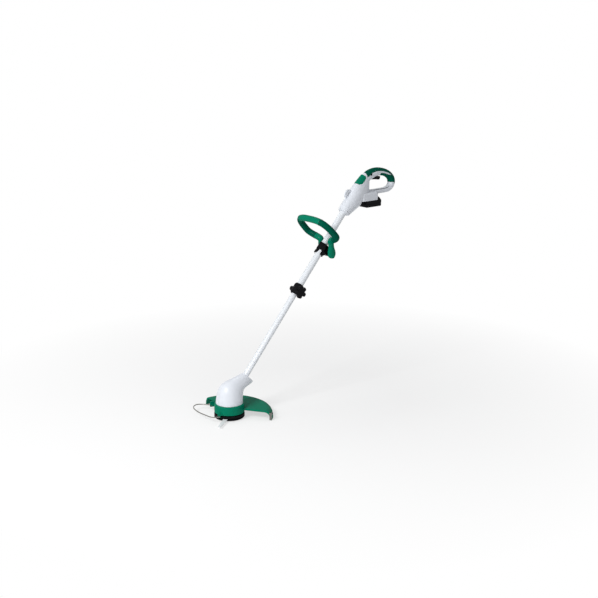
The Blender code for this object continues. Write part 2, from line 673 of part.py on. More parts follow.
def make_motor_housing():
    """The two white halves round the motor, with ribs, bosses and the pipe socket."""
    outer = put("head_outer", loft("head_outer", head_sections()))
    inner_rings = head_sections(HOUSING_WALL, 0, 9)
    lowest = [Vector((p.x, p.y, RING_TOP - 8 * MM)) for p in inner_rings[0]]
    inner = put("head_inner", loft("head_inner", [lowest] + inner_rings))
    for number, height in (("1", 74 * MM), ("2", 104 * MM)):
        rib = put("motor_rib_" + number, box("motor_rib_" + number, (-BIG, -BIG, height),
                                             (BIG, BIG, height + 3 * MM)))
        cut(inner, rib)
    socket_rib = put("socket_rib", box("socket_rib", (-BIG, -BIG, 76 * MM),
                                       (BIG, BIG, 79 * MM)), None, shaft)
    cut(inner, socket_rib)
    cut(outer, inner)
    for i, (x, y) in enumerate(guard_screw_spots()):
        boss = put("guard_boss_%d" % i, rod("guard_boss_%d" % i, 5 * MM, RING_TOP + GAP,
                                            RING_TOP + 13 * MM, 14), None, None, (x, y, 0))
        cut(outer, boss, 'UNION')
    motor_room = put("motor_room", rod("motor_room", MOTOR_RADIUS + GAP, RING_TOP - 5 * MM,
                                       MOTOR_TOP + BEARING_HEIGHT + 8 * MM, 32))
    cut(outer, motor_room)
    socket = put("lower_pipe_socket", rod("lower_pipe_socket", LOWER_PIPE_RADIUS + GAP,
                                          LOWER_PIPE_START - GAP, NECK_END + 20 * MM, 28),
                 None, shaft)
    cut(outer, socket)
    for i, (x, y) in enumerate(guard_screw_spots()):
        hole = put("boss_hole_%d" % i, rod("boss_hole_%d" % i, SCREW_RADIUS + GAP, RING_TOP - GAP,
                                           RING_TOP - RING_DECK + GUARD_SCREW_LENGTH + GAP, 12),
                   None, None, (x, y, 0))
        cut(outer, hole)
    screws = ((-34 * MM, 111 * MM), (46.5 * MM, 87 * MM), (97 * MM, 127 * MM))
    for i, (x, z) in enumerate(screws):
        side = 11 * MM
        boss = put("head_boss_%d" % i, rod("head_boss_%d" % i, 4.4 * MM, -14 * MM, 14 * MM, 14),
                   None, None, (x, 0, z), SIDE_VIEW)
        cut(outer, boss, 'UNION')
        hole = screw_hole("head_screw_hole_%d" % i, (x, side, z), FROM_RIGHT, CASE_SCREW_LENGTH,
                          sink=60 * MM)
        cut(outer, hole)
        screw("motor_housing_screw_%d" % (i + 1), (x, side, z), FROM_RIGHT, CASE_SCREW_LENGTH)
    whole = baked(outer, "head_whole")
    for name, trim in (("motor_housing_left", keep_left), ("motor_housing_right", keep_right)):
        cut(put(name, whole.copy(), WHITE), trim)


def make_motor():
    """The motor can, its end plate and the two spindle bearings."""
    turned("motor_can", [(MOTOR_RADIUS, MOTOR_TOP), (MOTOR_RADIUS, MOTOR_BOTTOM),
                         (MOTOR_RADIUS - MOTOR_WALL, MOTOR_BOTTOM),
                         (MOTOR_RADIUS - MOTOR_WALL, MOTOR_TOP - MOTOR_WALL),
                         (BEARING_RADIUS + GAP, MOTOR_TOP - MOTOR_WALL),
                         (BEARING_RADIUS + GAP, MOTOR_TOP)], STEEL, sides=32)
    plate_low = RING_TOP + GAP
    turned("motor_end_plate", [(MOTOR_RADIUS, MOTOR_BOTTOM - GAP), (MOTOR_RADIUS, plate_low),
                               (BEARING_RADIUS + GAP, plate_low),
                               (BEARING_RADIUS + GAP, MOTOR_BOTTOM - GAP)], BLACK, sides=32)
    inner = SPINDLE_RADIUS + GAP
    turned("lower_bearing", ring_profile(inner, BEARING_RADIUS, plate_low, plate_low + BEARING_HEIGHT),
           STEEL, sides=20)
    top = MOTOR_TOP - MOTOR_WALL
    turned("upper_bearing", ring_profile(inner, BEARING_RADIUS, top, top + BEARING_HEIGHT),
           STEEL, sides=20)


def make_pipes():
    """The telescopic shaft: the lower pipe slides inside the upper one."""
    bore = LOWER_PIPE_RADIUS + GAP
    turned("lower_pipe", ring_profile(LOWER_PIPE_RADIUS - LOWER_PIPE_WALL, LOWER_PIPE_RADIUS,
                                      LOWER_PIPE_START, LOWER_PIPE_END), PIPE, shaft, sides=28)
    upper = turned("upper_pipe", ring_profile(bore, UPPER_PIPE_RADIUS, UPPER_PIPE_START,
                                              UPPER_PIPE_END), PIPE, shaft, sides=32)
    hole = put("knob_bolt_hole", rod("knob_bolt_hole", KNOB_BOLT_RADIUS + GAP, 0, BIG / 4, 16),
               None, shaft, (0, 0, KNOB_PLACE), SIDE_VIEW)
    cut(upper, hole)
    return hole


def lobed_outline(radius, lobes, depth, count):
    """A round outline whose radius swells and shrinks once for each lobe."""
    points = []
    for i in range(count):
        turn = 2 * pi * i / count
        wave = 0.5 + 0.5 * cos(lobes * turn)
        reach = radius - depth * (1 - wave) ** 2.2
        points.append((reach * cos(turn), reach * sin(turn)))
    return points


def make_length_clamp(bolt_hole):
    """The collar that locks the telescopic pipes, with its lobed knob."""
    pipe = UPPER_PIPE_RADIUS + GAP
    guide = LOWER_PIPE_RADIUS + RUNNING_GAP
    stop = UPPER_PIPE_START - GAP
    collar = turned("length_collar",
                    [(pipe + 2.2 * MM, COLLAR_END), (COLLAR_RADIUS, COLLAR_END - 6 * MM),
                     (COLLAR_RADIUS, COLLAR_START + 5 * MM), (pipe + 1.5 * MM, COLLAR_START),
                     (guide, COLLAR_START), (guide, stop), (pipe, stop), (pipe, COLLAR_END)],
                    BLACK, shaft, sides=32)
    near_boss = put("near_boss", rod("near_boss", 11 * MM, 15 * MM, 21 * MM, 24, 10 * MM), None,
                    shaft, (0, 0, KNOB_PLACE), SIDE_VIEW)
    far_boss = put("far_boss", rod("far_boss", 9.5 * MM, -34 * MM, -15 * MM, 24, 11 * MM), None,
                   shaft, (0, 0, KNOB_PLACE + 5 * MM), SIDE_VIEW)
    cut(collar, near_boss, 'UNION')
    cut(collar, far_boss, 'UNION')
    cut(collar, bolt_hole)
    knob_axis = empty("length_knob_axis", (0, 0, KNOB_PLACE), (pi / 2, 0, 0), shaft)
    outline = lobed_outline(KNOB_RADIUS, KNOB_LOBES, 9 * MM, 45)
    face = 21 * MM + GAP
    knob = put("length_knob", flat_curve("length_knob", [outline], KNOB_THICKNESS / 2, 2.4 * MM, 1),
               BLACK, knob_axis, (0, 0, face + KNOB_THICKNESS / 2))
    head_low = face + 5 * MM
    head_high = face + 10 * MM
    bolt_tip = LOWER_PIPE_RADIUS + RUNNING_GAP + 0.2 * MM
    turned("length_knob_bolt", [(0, head_high), (6 * MM, head_high), (6 * MM, head_low),
                                (KNOB_BOLT_RADIUS, head_low), (KNOB_BOLT_RADIUS, bolt_tip),
                                (0, bolt_tip)], STEEL, knob_axis, sides=12)
    room = turned("knob_bolt_room", [(0, head_high + GAP), (6 * MM + GAP, head_high + GAP),
                                     (6 * MM + GAP, head_low - GAP),
                                     (KNOB_BOLT_RADIUS + GAP, head_low - GAP),
                                     (KNOB_BOLT_RADIUS + GAP, 0), (0, 0)], None, knob_axis,
                  sides=12)
    cut(knob, room)


def loop_line():
    """Centre line of the loop handle in the shaft's frame, left leg to right leg."""
    leg_foot = Vector((LOOP_PIVOT_UNDER, -LEG_SIDE, LOOP_PIVOT_ALONG))
    leg_top = Vector((-4 * MM, -LEG_SIDE, LOOP_PLACE - 9 * MM))
    line = [leg_foot, leg_foot.lerp(leg_top, 0.35), leg_foot.lerp(leg_top, 0.7), leg_top]
    line.append(Vector((-10.5 * MM, -LEG_SIDE - 14 * MM, LOOP_PLACE - 5 * MM)))
    line.append(Vector((-20 * MM, -LOOP_HALF_WIDTH + 20.5 * MM, LOOP_PLACE - 3 * MM)))
    line.append(Vector((-31 * MM, -LOOP_HALF_WIDTH + 6 * MM, LOOP_PLACE - 1.5 * MM)))
    power = 3.1
    count = 15
    for i in range(count + 1):
        turn = pi * i / count
        c = copysign(abs(cos(turn)) ** (2 / power), cos(turn))
        s = abs(sin(turn)) ** (2 / power)
        line.append(Vector((-LOOP_WIDEST - LOOP_RISE * s, -LOOP_HALF_WIDTH * c,
                            LOOP_PLACE + LOOP_LEAN * LOOP_RISE * s)))
    half = line[:7]
    line += [Vector((p.x, -p.y, p.z)) for p in reversed(half)]
    return line


class Carried:
    """A symmetric path whose cross-section directions are carried along without twist."""

    def __init__(self, path, side):
        half = (len(path) + 1) // 2
        frames = []
        normal = Vector(side).normalized()
        for i in range(half):
            tangent = (path[i + 1] - path[max(i - 1, 0)]).normalized()
            normal = (normal - tangent * normal.dot(tangent)).normalized()
            frames.append((path[i], tangent, normal))
        for point, tangent, normal in frames[:len(path) - half][::-1]:
            frames.append((Vector((point.x, -point.y, point.z)),
                           Vector((-tangent.x, tangent.y, -tangent.z)),
                           Vector((normal.x, -normal.y, normal.z))))
        self.frames = frames
        self.lengths = [0.0]
        for a, b in zip(frames, frames[1:]):
            self.lengths.append(self.lengths[-1] + (b[0] - a[0]).length)
        self.whole = self.lengths[-1]

    def at(self, distance):
        i = 0
        while i < len(self.lengths) - 2 and self.lengths[i + 1] < distance:
            i += 1
        share = (distance - self.lengths[i]) / (self.lengths[i + 1] - self.lengths[i])
        near, far = self.frames[i], self.frames[i + 1]
        point = near[0].lerp(far[0], share)
        share = min(max(share, 0), 1)
        tangent = near[1].lerp(far[1], share).normalized()
        normal = near[2].lerp(far[2], share)
        normal = (normal - tangent * normal.dot(tangent)).normalized()
        return point, tangent, normal, tangent.cross(normal)


def tube_ring(frame, along_normal, along_binormal, count):
    point, _, normal, binormal = frame
    return [point + normal * along_normal * cos(2 * pi * k / count)
            + binormal * along_binormal * sin(2 * pi * k / count) for k in range(count)]


def make_loop_handle():
    """The loop: a moulded tube with two flat legs, two rubber sleeves, and its pivot bolt."""
    pivot = empty("loop_pivot", (LOOP_PIVOT_UNDER, 0, LOOP_PIVOT_ALONG), (0, 0, 0), shaft)
    shift = Vector((-LOOP_PIVOT_UNDER, 0, -LOOP_PIVOT_ALONG))
    path = Carried(smooth_path([p + shift for p in loop_line()], 2), (0, 1, 0))
    half = LEG_HALF_THICKNESS
    step = 0.4 * MM
    sleeve_start = SLEEVE_START
    sleeve_end = SLEEVE_END
    bulb = LEG_BULB_RADIUS
    stations = [(-0.97 * bulb, 0.3 * bulb, half - 4 * MM), (-0.82 * bulb, 0.62 * bulb, half - 1.2 * MM),
                (-0.45 * bulb, 0.91 * bulb, half), (0, bulb, half),
                (0.5 * bulb, 0.94 * bulb, half), (1.1 * bulb, 0.74 * bulb, half),
                (2.0 * bulb, 0.64 * bulb, half)]
    stations += [(d, LOOP_RADIUS, LOOP_RADIUS) for d in path.lengths
                 if 58 * MM < d < sleeve_start - 4 * MM]
    stations += [(sleeve_start - GAP - step, LOOP_RADIUS, LOOP_RADIUS),
                 (sleeve_start - GAP, LOOP_CORE_RADIUS, LOOP_CORE_RADIUS)]
    stations += [(d, LOOP_CORE_RADIUS, LOOP_CORE_RADIUS) for d in path.lengths
                 if sleeve_start + 3 * MM < d < sleeve_end - 3 * MM]
    stations += [(sleeve_end + GAP, LOOP_CORE_RADIUS, LOOP_CORE_RADIUS),
                 (sleeve_end + GAP + step, LOOP_RADIUS, LOOP_RADIUS)]
    middle = path.whole / 2
    stations += [(d, LOOP_RADIUS, LOOP_RADIUS) for d in path.lengths
                 if sleeve_end + 4 * MM < d < middle - 1 * MM]
    rings = [tube_ring(path.at(d), b, a, LOOP_SIDES) for d, a, b in stations]
    rings.append(tube_ring(path.at(middle), LOOP_RADIUS, LOOP_RADIUS, LOOP_SIDES))
    rings += [tube_ring(path.at(path.whole - d), b, a, LOOP_SIDES) for d, a, b in stations[::-1]]
    tube = put("loop_tube", loft("loop_tube", rings), GREEN, pivot)
    outer_face = LEG_SIDE + LEG_HALF_THICKNESS
    inner_face = LEG_SIDE - LEG_HALF_THICKNESS
    bolt_end = outer_face - 6 * MM
    bolt_room = put("loop_bolt_room", rod("loop_bolt_room", LOOP_BOLT_RADIUS + GAP, -BIG / 4,
                                          bolt_end + GAP, 16), None, pivot, (0, 0, 0), SIDE_VIEW)
    cut(tube, bolt_room)
    nut_half = 2 * MM
    nut_middle = inner_face + GAP + nut_half
    room_half = nut_half + 2 * GAP
    room_outline = circle_points(0, 0, 7.1 * MM + 2 * GAP, 6)
    nut_room = put("loop_nut_room", flat_curve("loop_nut_room", [room_outline], room_half), None,
                   pivot, (0, -nut_middle + GAP, 0), SIDE_VIEW)
    cut(tube, nut_room)
    nut_outline = circle_points(0, 0, 7.1 * MM, 6)
    nut_hole = circle_points(0, 0, LOOP_BOLT_RADIUS + GAP, 12)
    put("loop_nut", flat_curve("loop_nut", [nut_outline, nut_hole[::-1]], nut_half), STEEL, pivot,
        (0, -nut_middle, 0), SIDE_VIEW)
    head = outer_face + GAP
    turned("loop_bolt", [(0, bolt_end), (LOOP_BOLT_RADIUS, bolt_end),
                         (LOOP_BOLT_RADIUS, -head), (7.5 * MM, -head), (7.5 * MM, -head - 3.4 * MM),
                         (6.5 * MM, -head - 4.6 * MM), (0, -head - 4.6 * MM)], STEEL, pivot,
           (0, 0, 0), SIDE_VIEW, sides=14)
    for name, mirrored in (("loop_sleeve_left", False), ("loop_sleeve_right", True)):
        put(name, sleeve(name, path, sleeve_start, sleeve_end, mirrored), RUBBER, pivot)


def sleeve(name, path, start, end, mirrored):
    """A smooth rubber sleeve on the loop with a bead at each end: outside out, bore back."""
    bead = LOOP_RADIUS + SLEEVE_BEAD
    bore = LOOP_CORE_RADIUS + 0.8 * MM
    slope = 0.8 * MM
    bead_end = SLEEVE_BEAD_WIDTH + slope

    def ring(distance, radius):
        if mirrored:
            distance = path.whole - distance
        return tube_ring(path.at(distance), radius, radius, LOOP_SIDES)

    lip = [(0, LOOP_RADIUS), (slope, bead), (SLEEVE_BEAD_WIDTH, bead), (bead_end, LOOP_RADIUS)]
    spots = [(start + d, r) for d, r in lip]
    smooth = (start + bead_end + 2 * MM, end - bead_end - 2 * MM)
    spots += [(d, LOOP_RADIUS) for d in path.lengths if smooth[0] < d < smooth[1]]
    spots += [(end - d, r) for d, r in reversed(lip)]
    rings = [ring(d, r) for d, r in spots]
    back = [d for d in path.lengths if start + 2 * MM < d < end - 2 * MM]
    rings += [ring(d, bore) for d in [end] + back[::-1] + [start]]
    return loft(name, rings, True)


def make_loop_clamp():
    """The black clamp on the upper pipe: an upper saddle, a lower saddle with the pivot lug."""
    pipe_room = put("clamp_pipe_room", rod("clamp_pipe_room", UPPER_PIPE_RADIUS + GAP, CLAMP_START - BIG / 8,
                                           CLAMP_END + BIG / 8, 32), None, shaft)
    lug_half = LEG_SIDE - LEG_HALF_THICKNESS - 1 * MM
    ear_start = CLAMP_START + 4 * MM
    ear_end = CLAMP_START + 16 * MM
    body = put("clamp_body", rod("clamp_body", CLAMP_RADIUS, CLAMP_START, CLAMP_END, 32), None, shaft)
    ears = put("clamp_ears", box("clamp_ears", (-7 * MM, -25.5 * MM, ear_start),
                                 (7 * MM, 25.5 * MM, ear_end)), None, shaft)
    cut(body, ears, 'UNION')
    outline = circle_points(LOOP_PIVOT_ALONG, -LOOP_PIVOT_UNDER, 13.5 * MM, 13, pi, pi)
    outline += [(LOOP_PIVOT_ALONG + 17 * MM, -10 * MM), (LOOP_PIVOT_ALONG - 17 * MM, -10 * MM)]
    lug_mesh = flat_curve("pivot_lug", [[(-y, x) for x, y in outline]], lug_half)
    lug = put("pivot_lug", lug_mesh, None, shaft, (0, 0, 0), SIDE_VIEW)
    cut(body, lug, 'UNION')
    cut(body, pipe_room)
    bolt_room = put("lug_bolt_room", rod("lug_bolt_room", LOOP_BOLT_RADIUS + RUNNING_GAP, -BIG / 4,
                                         BIG / 4, 16), None, shaft,
                    (LOOP_PIVOT_UNDER, 0, LOOP_PIVOT_ALONG), SIDE_VIEW)
    cut(body, bolt_room)
    middle = (ear_start + ear_end) / 2
    for number, side in (("1", -20.5 * MM), ("2", 20.5 * MM)):
        place = (7 * MM, side, middle)
        hole = screw_hole("clamp_screw_hole_" + number, place, (0, pi / 2, 0), 11 * MM, shaft, 8 * MM)
        cut(body, hole)
        screw("loop_clamp_screw_" + number, place, (0, pi / 2, 0), 11 * MM, shaft)
    whole = baked(body, "clamp_whole")
    whole.transform((FRAME_OF_SHAFT).inverted())
    under = put("trim_clamp_under", box("trim_clamp_under", (-SPLIT, -BIG, 0), (BIG, BIG, 3 * BIG)),
                None, shaft)
    over = put("trim_clamp_over", box("trim_clamp_over", (-BIG, -BIG, 0), (SPLIT, BIG, 3 * BIG)),
               None, shaft)
    cut(put("loop_clamp_upper", whole.copy(), BLACK, shaft), under)
    cut(put("loop_clamp_lower", whole.copy(), BLACK, shaft), over)


FRAME_OF_SHAFT = Matrix.Translation(FOOT) @ Matrix.Rotation(pi / 2 - SHAFT_ANGLE, 4, 'Y')


def body_sections(inset=0.0):
    """Rings of the rear housing's body, nose to the root of the D handle."""
    nose = NOSE_PLACE
    sections = [
        (nose, 20 * MM, -22.5 * MM, 20 * MM), (nose + 3 * MM, 23 * MM, -26 * MM, 23 * MM),
        (nose + 18 * MM, 24 * MM, -31 * MM, 25 * MM), (nose + 36 * MM, 24 * MM, -38 * MM, 26.5 * MM),
        (nose + 58 * MM, 24 * MM, -46.5 * MM, 28 * MM), (nose + 76 * MM, 24.5 * MM, -54 * MM, 28.5 * MM),
        (nose + 101 * MM, 25 * MM, -60 * MM, 28 * MM), (nose + 126 * MM, 24.5 * MM, -62 * MM, 24.5 * MM),
        (nose + 146 * MM, 22.5 * MM, -52 * MM, 20 * MM), (nose + 161 * MM, 20.5 * MM, -40 * MM, 17.5 * MM),
        (nose + 174 * MM, 18 * MM, -29 * MM, 16 * MM),
    ]
    if inset:
        sections = sections[1:]
    chords = [(on_shaft(s, top), on_shaft(s, low), w) for s, top, low, w in sections]
    return [oval(a, b, w, 24, 2.2, inset) for a, b, w in chords]


def bar_sections(inset=0.0):
    """Rings of the D handle's bar: outer point, inner point and half width."""
    pairs = [
        ((97.9, 140.8), (115.9, 91.8), 15.5), ((125.9, 156.3), (136.9, 115.3), 15.5),
        ((147.9, 162.8), (147.9, 120.8), 15.5), ((173.9, 165.3), (171.9, 129.8), 15.5),
        ((197.9, 163), (193.9, 131.3), 15.5), ((222.9, 156.8), (213.9, 128.3), 15.5),
        ((245.9, 146.1), (228.9, 122.3), 15.5), ((263.9, 131.3), (239.9, 114.8), 15.5),
        ((273.9, 115.3), (245.9, 107.8), 15.5), ((276.4, 98.8), (247.9, 98.8), 15.5),
        ((272.4, 83.3), (245.4, 90.3), 15), ((262.4, 70.3), (237.9, 84.3), 14.5),
        ((245.9, 61.3), (227.4, 80.8), 14), ((225.9, 58.6), (213.9, 79.3), 13.5),
        ((200.9, 58.2), (195.9, 78.8), 13.5), ((170.9, 57.8), (170.9, 78.3), 13.5),
        ((137.9, 56.8), (139.9, 77.8), 14), ((115.9, 55.8), (115.9, 75.8), 14),
    ]
    rings = []
    for outer, inner, w in pairs:
        far, near = from_nose([outer, inner])
        rings.append(oval(side_point(*far), side_point(*near), w * MM, 20, 2.25, inset))
    return rings


def rounded_rectangle(low_x, high_x, half_width, corner, corner_steps=4):
    points = []
    for cx, cy, start in ((high_x - corner, half_width - corner, 0),
                          (low_x + corner, half_width - corner, pi / 2),
                          (low_x + corner, -half_width + corner, pi),
                          (high_x - corner, -half_width + corner, 3 * pi / 2)):
        for i in range(corner_steps + 1):
            turn = start + pi / 2 * i / corner_steps
            points.append((cx + corner * cos(turn), cy + corner * sin(turn)))
    return points


def plan_loft(name, levels):
    """Stacked plan outlines: each level is a height and a row of X and Y points."""
    return loft(name, [[(x, y, z) for x, y in points] for z, points in levels])


def shrink(points, distance):
    """Move a closed outline inwards (it runs anticlockwise) by a distance."""
    result = []
    count = len(points)
    for i in range(count):
        before, here, after = points[i - 1], points[i], points[(i + 1) % count]
        a = Vector((here[0] - before[0], here[1] - before[1])).normalized()
        b = Vector((after[0] - here[0], after[1] - here[1])).normalized()
        inward = (Vector((-a.y, a.x)) + Vector((-b.y, b.x)))
        inward = inward / max(inward.length_squared / 2, 0.4)
        result.append((here[0] + inward.x * distance, here[1] + inward.y * distance))
    return result


def from_nose(points):
    """Side view points, written in millimetres from the housing's nose."""
    return [(NOSE_X + x * MM, NOSE_Z + z * MM) for x, z in points]


# Side view outlines of the green overmouldings, anticlockwise
CAP_OUTLINE = from_nose([(52.9, 119.8), (58.4, 113.3), (70.9, 107.3), (85.9, 108.8), (98.9, 118.3),
                         (108.9, 129.8), (99.9, 179.8), (65.9, 174.8), (47.9, 139.8)])
GRIP_OUTLINE = from_nose([(115.9, 131.3), (127.9, 136.8), (144.9, 146.8), (160.9, 150.8),
                          (176.9, 151.8), (195.9, 150.3), (215.9, 145.3), (233.9, 138.3),
                          (248.9, 129.3), (231.9, 133.3), (215.9, 138.8), (197.9, 142.8),
                          (188.9, 142.8), (186.9, 119.8), (210.9, 104.8), (237.9, 99.8), (261.9, 98.8),
                          (271.9, 89.8), (300.9, 84.8), (305.9, 149.8), (225.9, 184.8), (106.9, 184.8)])


def make_rear_housing():
    """The white rear housing in two halves, with the green cap and grip moulded over it."""
    outer = put("rear_outer", loft("rear_outer", body_sections()))
    bar = put("bar_outer", loft("bar_outer", bar_sections()))
    corner = 12 * MM
    plan = rounded_rectangle(BASE_FRONT, BASE_REAR, BASE_HALF_WIDTH, corner)
    shoulder = rounded_rectangle(BASE_FRONT + 5 * MM, BASE_REAR - 2 * MM, BASE_HALF_WIDTH - 5 * MM,
                                 corner - 3 * MM)
    levels = [(BASE_BOTTOM - 5 * MM, plan), (BASE_TOP - 7 * MM, plan), (BASE_TOP, shoulder)]
    base = put("base_outer", plan_loft("base_outer", levels))
    cut(outer, bar, 'UNION')
    cut(outer, base, 'UNION')
    outside = baked(outer, "rear_outside")

    core = put("rear_core", loft("rear_core", body_sections(GRIP_THICKNESS)))
    bar_core = put("bar_core", loft("bar_core", bar_sections(GRIP_THICKNESS)))
    cut(core, bar_core, 'UNION')
    core_solid = put("core_solid", baked(core, "core_solid"))
    grown = put("rear_core_grown", loft("rear_core_grown", body_sections(GRIP_THICKNESS - GAP)))
    bar_grown = put("bar_core_grown", loft("bar_core_grown", bar_sections(GRIP_THICKNESS - GAP)))
    cut(grown, bar_grown, 'UNION')
    grown_solid = put("grown_solid", baked(grown, "grown_solid"))

    white = put("rear_white", outside.copy())
    grips = {}
    reach = 60 * MM
    for name, outline in (("front_cap", CAP_OUTLINE), ("top_grip", GRIP_OUTLINE)):
        region = put(name + "_region", flat_curve(name + "_region", [outline], reach), None, None,
                     (0, 0, 0), SIDE_VIEW)
        cut(white, region)
        inner = put(name + "_shape", flat_curve(name + "_shape", [shrink(outline, GAP)], reach),
                    None, None, (0, 0, 0), SIDE_VIEW)
        grip = put(name, outside.copy(), GREEN if name == "front_cap" else RUBBER)
        cut(grip, inner, 'INTERSECT')
        cut(grip, grown_solid)
        grips[name] = grip
    cut(white, core_solid, 'UNION')
    joined = baked(white, "rear_joined")
    tidy(joined)
    hollow = put("rear_hollow", joined)
    for tool in rear_pockets(grips["top_grip"]):
        cut(hollow, tool)
    whole = baked(hollow, "rear_whole")
    tidy(whole)
    for name, trim in (("rear_housing_left", keep_left), ("rear_housing_right", keep_right)):
        cut(put(name, whole.copy(), WHITE), trim)


def rear_pockets(grip):
    """Every room inside the rear housing, as cutting shapes; two of them also open the grip."""
    tools = []
    tools.append(put("upper_pipe_socket", rod("upper_pipe_socket", UPPER_PIPE_RADIUS + GAP,
                                              NOSE_PLACE - 20 * MM, UPPER_PIPE_END + GAP, 32),
                     None, shaft))
    tools.append(put("lead_duct", rod("lead_duct", 7 * MM, UPPER_PIPE_END - 5 * MM,
                                      UPPER_PIPE_END + 92 * MM, 16), None, shaft))
    rear, top = SWITCH_HIGH[0] + GAP, SWITCH_HIGH[2] + GAP
    front, floor, ceiling = SWITCH_LOW[0] - 16.5 * MM, SWITCH_LOW[2] - 32.5 * MM, SWITCH_LOW[2] - 5 * MM
    room = [(front, floor), (rear, floor), (rear, top), (SWITCH_LOW[0] - GAP, top),
            (SWITCH_LOW[0] - GAP, ceiling), (front, ceiling)]
    trigger_slot = put("trigger_slot", flat_curve("trigger_slot", [room], SWITCH_HIGH[1] + GAP), None,
                       None, (0, 0, 0), SIDE_VIEW)
    lock_room = put("lock_room", rod("lock_room", LOCK_RADIUS + RUNNING_GAP, -BIG / 8, BIG / 8, 20),
                    None, None, (LOCK_PLACE[0], 0, LOCK_PLACE[1]), SIDE_VIEW)
    tools.append(trigger_slot)
    tools.append(lock_room)
    cut(grip, lock_room)
    cut(grip, trigger_slot)
    low = BASE_BOTTOM - 10 * MM
    behind = BATTERY_REAR + BIG / 8
    clear = RUNNING_GAP
    tools.append(put("rail_slot", box("rail_slot", (RAIL_FRONT - 4 * MM, -RAIL_NECK - clear, low),
                                      (behind, RAIL_NECK + clear, RAIL_TOP))))
    tools.append(put("rail_room", box("rail_room", (RAIL_FRONT - 4 * MM, -RAIL_HALF_WIDTH - clear,
                                                    RAIL_STEP - clear),
                                      (behind, RAIL_HALF_WIDTH + clear, RAIL_TOP + clear))))
    tools.append(put("base_rear_notch", box("base_rear_notch", (BASE_REAR_LOW, -BIG, low),
                                            (BASE_REAR_LOW + 40 * MM, BIG, BASE_STEP))))
    tools.append(put("battery_room", box("battery_room", (BASE_FRONT - 1.5 * MM, -BIG, low - BIG / 8),
                                         (behind, BIG, BASE_BOTTOM))))
    tools.append(put("hanger_pocket", box("hanger_pocket", (-25 * MM, -4 * MM - GAP, HANGER_START - GAP),
                                          (-HANGER_FOOT + GAP, 4 * MM + GAP, HANGER_END + GAP)), None,
                     shaft))
    tools.append(put("trigger_pin_hole", rod("trigger_pin_hole", 1.5 * MM + GAP, -11 * MM, 11 * MM, 12),
                     None, None, (TRIGGER_PIVOT[0], 0, TRIGGER_PIVOT[1]), SIDE_VIEW))
    tools.append(put("terminal_room", box("terminal_room", (RAIL_FRONT - 10 * MM, -TERMINAL_HALF - GAP,
                                                            RAIL_STEP - 1 * MM),
                                          (RAIL_FRONT, TERMINAL_HALF + GAP, RAIL_TOP - 1 * MM + GAP))))
    for i, (x, z, side) in enumerate(REAR_SCREWS):
        tools.append(screw_hole("rear_screw_hole_%d" % i, (x, side, z), FROM_RIGHT,
                                CASE_SCREW_LENGTH, sink=40 * MM))
        screw("rear_housing_screw_%d" % (i + 1), (x, side, z), FROM_RIGHT, CASE_SCREW_LENGTH)
    return tools


def make_rear_parts():
    """The pieces that sit in the rear housing: hanger, switch, trigger, lock and terminals."""
    arch = []
    for i in range(9):
        turn = pi * i / 8
        arch.append((HANGER_END - 4 * MM - 13 * MM + 19 * MM * cos(turn) - 1 * MM,
                     30 * MM + 15 * MM * sin(turn)))
    outline = [(HANGER_START, HANGER_FOOT), (HANGER_END, HANGER_FOOT)]
    outline += [(HANGER_END, BODY_TOP + 3 * MM)] + arch + [(HANGER_START, BODY_TOP + 3 * MM)]
    slot = rounded_rectangle(HANGER_START + 5 * MM, HANGER_END - 5 * MM, 4.6 * MM, 4.5 * MM)
    slot = [(x, y + HANGER_SLOT) for x, y in slot]
    turned_outline = [(-y, x) for x, y in outline]
    turned_slot = [(-y, x) for x, y in slot]
    put("strap_hanger", flat_curve("strap_hanger", [turned_outline, turned_slot[::-1]], 4 * MM,
                                   ), WHITE, shaft, (0, 0, 0), SIDE_VIEW)
    put("switch_body", box("switch_body", SWITCH_LOW, SWITCH_HIGH), BLACK)
    pivot_x, pivot_z = TRIGGER_PIVOT
    put("trigger_pin", rod("trigger_pin", 1.5 * MM, -10.5 * MM, 10.5 * MM, 12), STEEL, None,
        (pivot_x, 0, pivot_z), SIDE_VIEW)
    outline = from_nose([(135.9, 123.8), (138.9, 120.6), (147.9, 119.8), (161.9, 118.6), (175.9, 116.8),
                         (185.9, 115.3), (190.9, 116.8), (193.4, 120.8), (193.9, 128.8), (175.9, 131.3),
                         (153.9, 132.8), (139.9, 132.8), (136.4, 129.8)])
    local = [(x - pivot_x, z - pivot_z) for x, z in outline]
    hole = circle_points(0, 0, 1.5 * MM + GAP, 12)
    put("trigger", flat_curve("trigger", [local, hole[::-1]], TRIGGER_HALF_WIDTH), BLACK, None,
        (pivot_x, 0, pivot_z), SIDE_VIEW)
    turned("lock_button", [(0, LOCK_REACH), (LOCK_RADIUS - 0.8 * MM, LOCK_REACH),
                           (LOCK_RADIUS, LOCK_REACH - 0.8 * MM), (LOCK_RADIUS, -LOCK_REACH + 0.8 * MM),
                           (LOCK_RADIUS - 0.8 * MM, -LOCK_REACH), (0, -LOCK_REACH)], BLACK, None,
           (LOCK_PLACE[0], 0, LOCK_PLACE[1]), SIDE_VIEW, sides=20)
    block_low = (RAIL_FRONT - 10 * MM + GAP, -TERMINAL_HALF, RAIL_STEP + GAP - 1 * MM)
    block_high = (RAIL_FRONT - RUNNING_GAP, TERMINAL_HALF, RAIL_TOP - 1 * MM)
    block = put("terminal_block", box("terminal_block", block_low, block_high), BLACK)
    for i, side in enumerate(TERMINAL_SIDES):
        tab = put("terminal_tab_%d" % i, box("terminal_tab_%d" % i,
                                             (RAIL_FRONT - 5 * MM, side - 0.6 * MM, RAIL_STEP + 2 * MM),
                                             (RAIL_FRONT + 9 * MM, side + 0.6 * MM, RAIL_TOP - 2 * MM)))
        cut(block, tab, 'UNION')


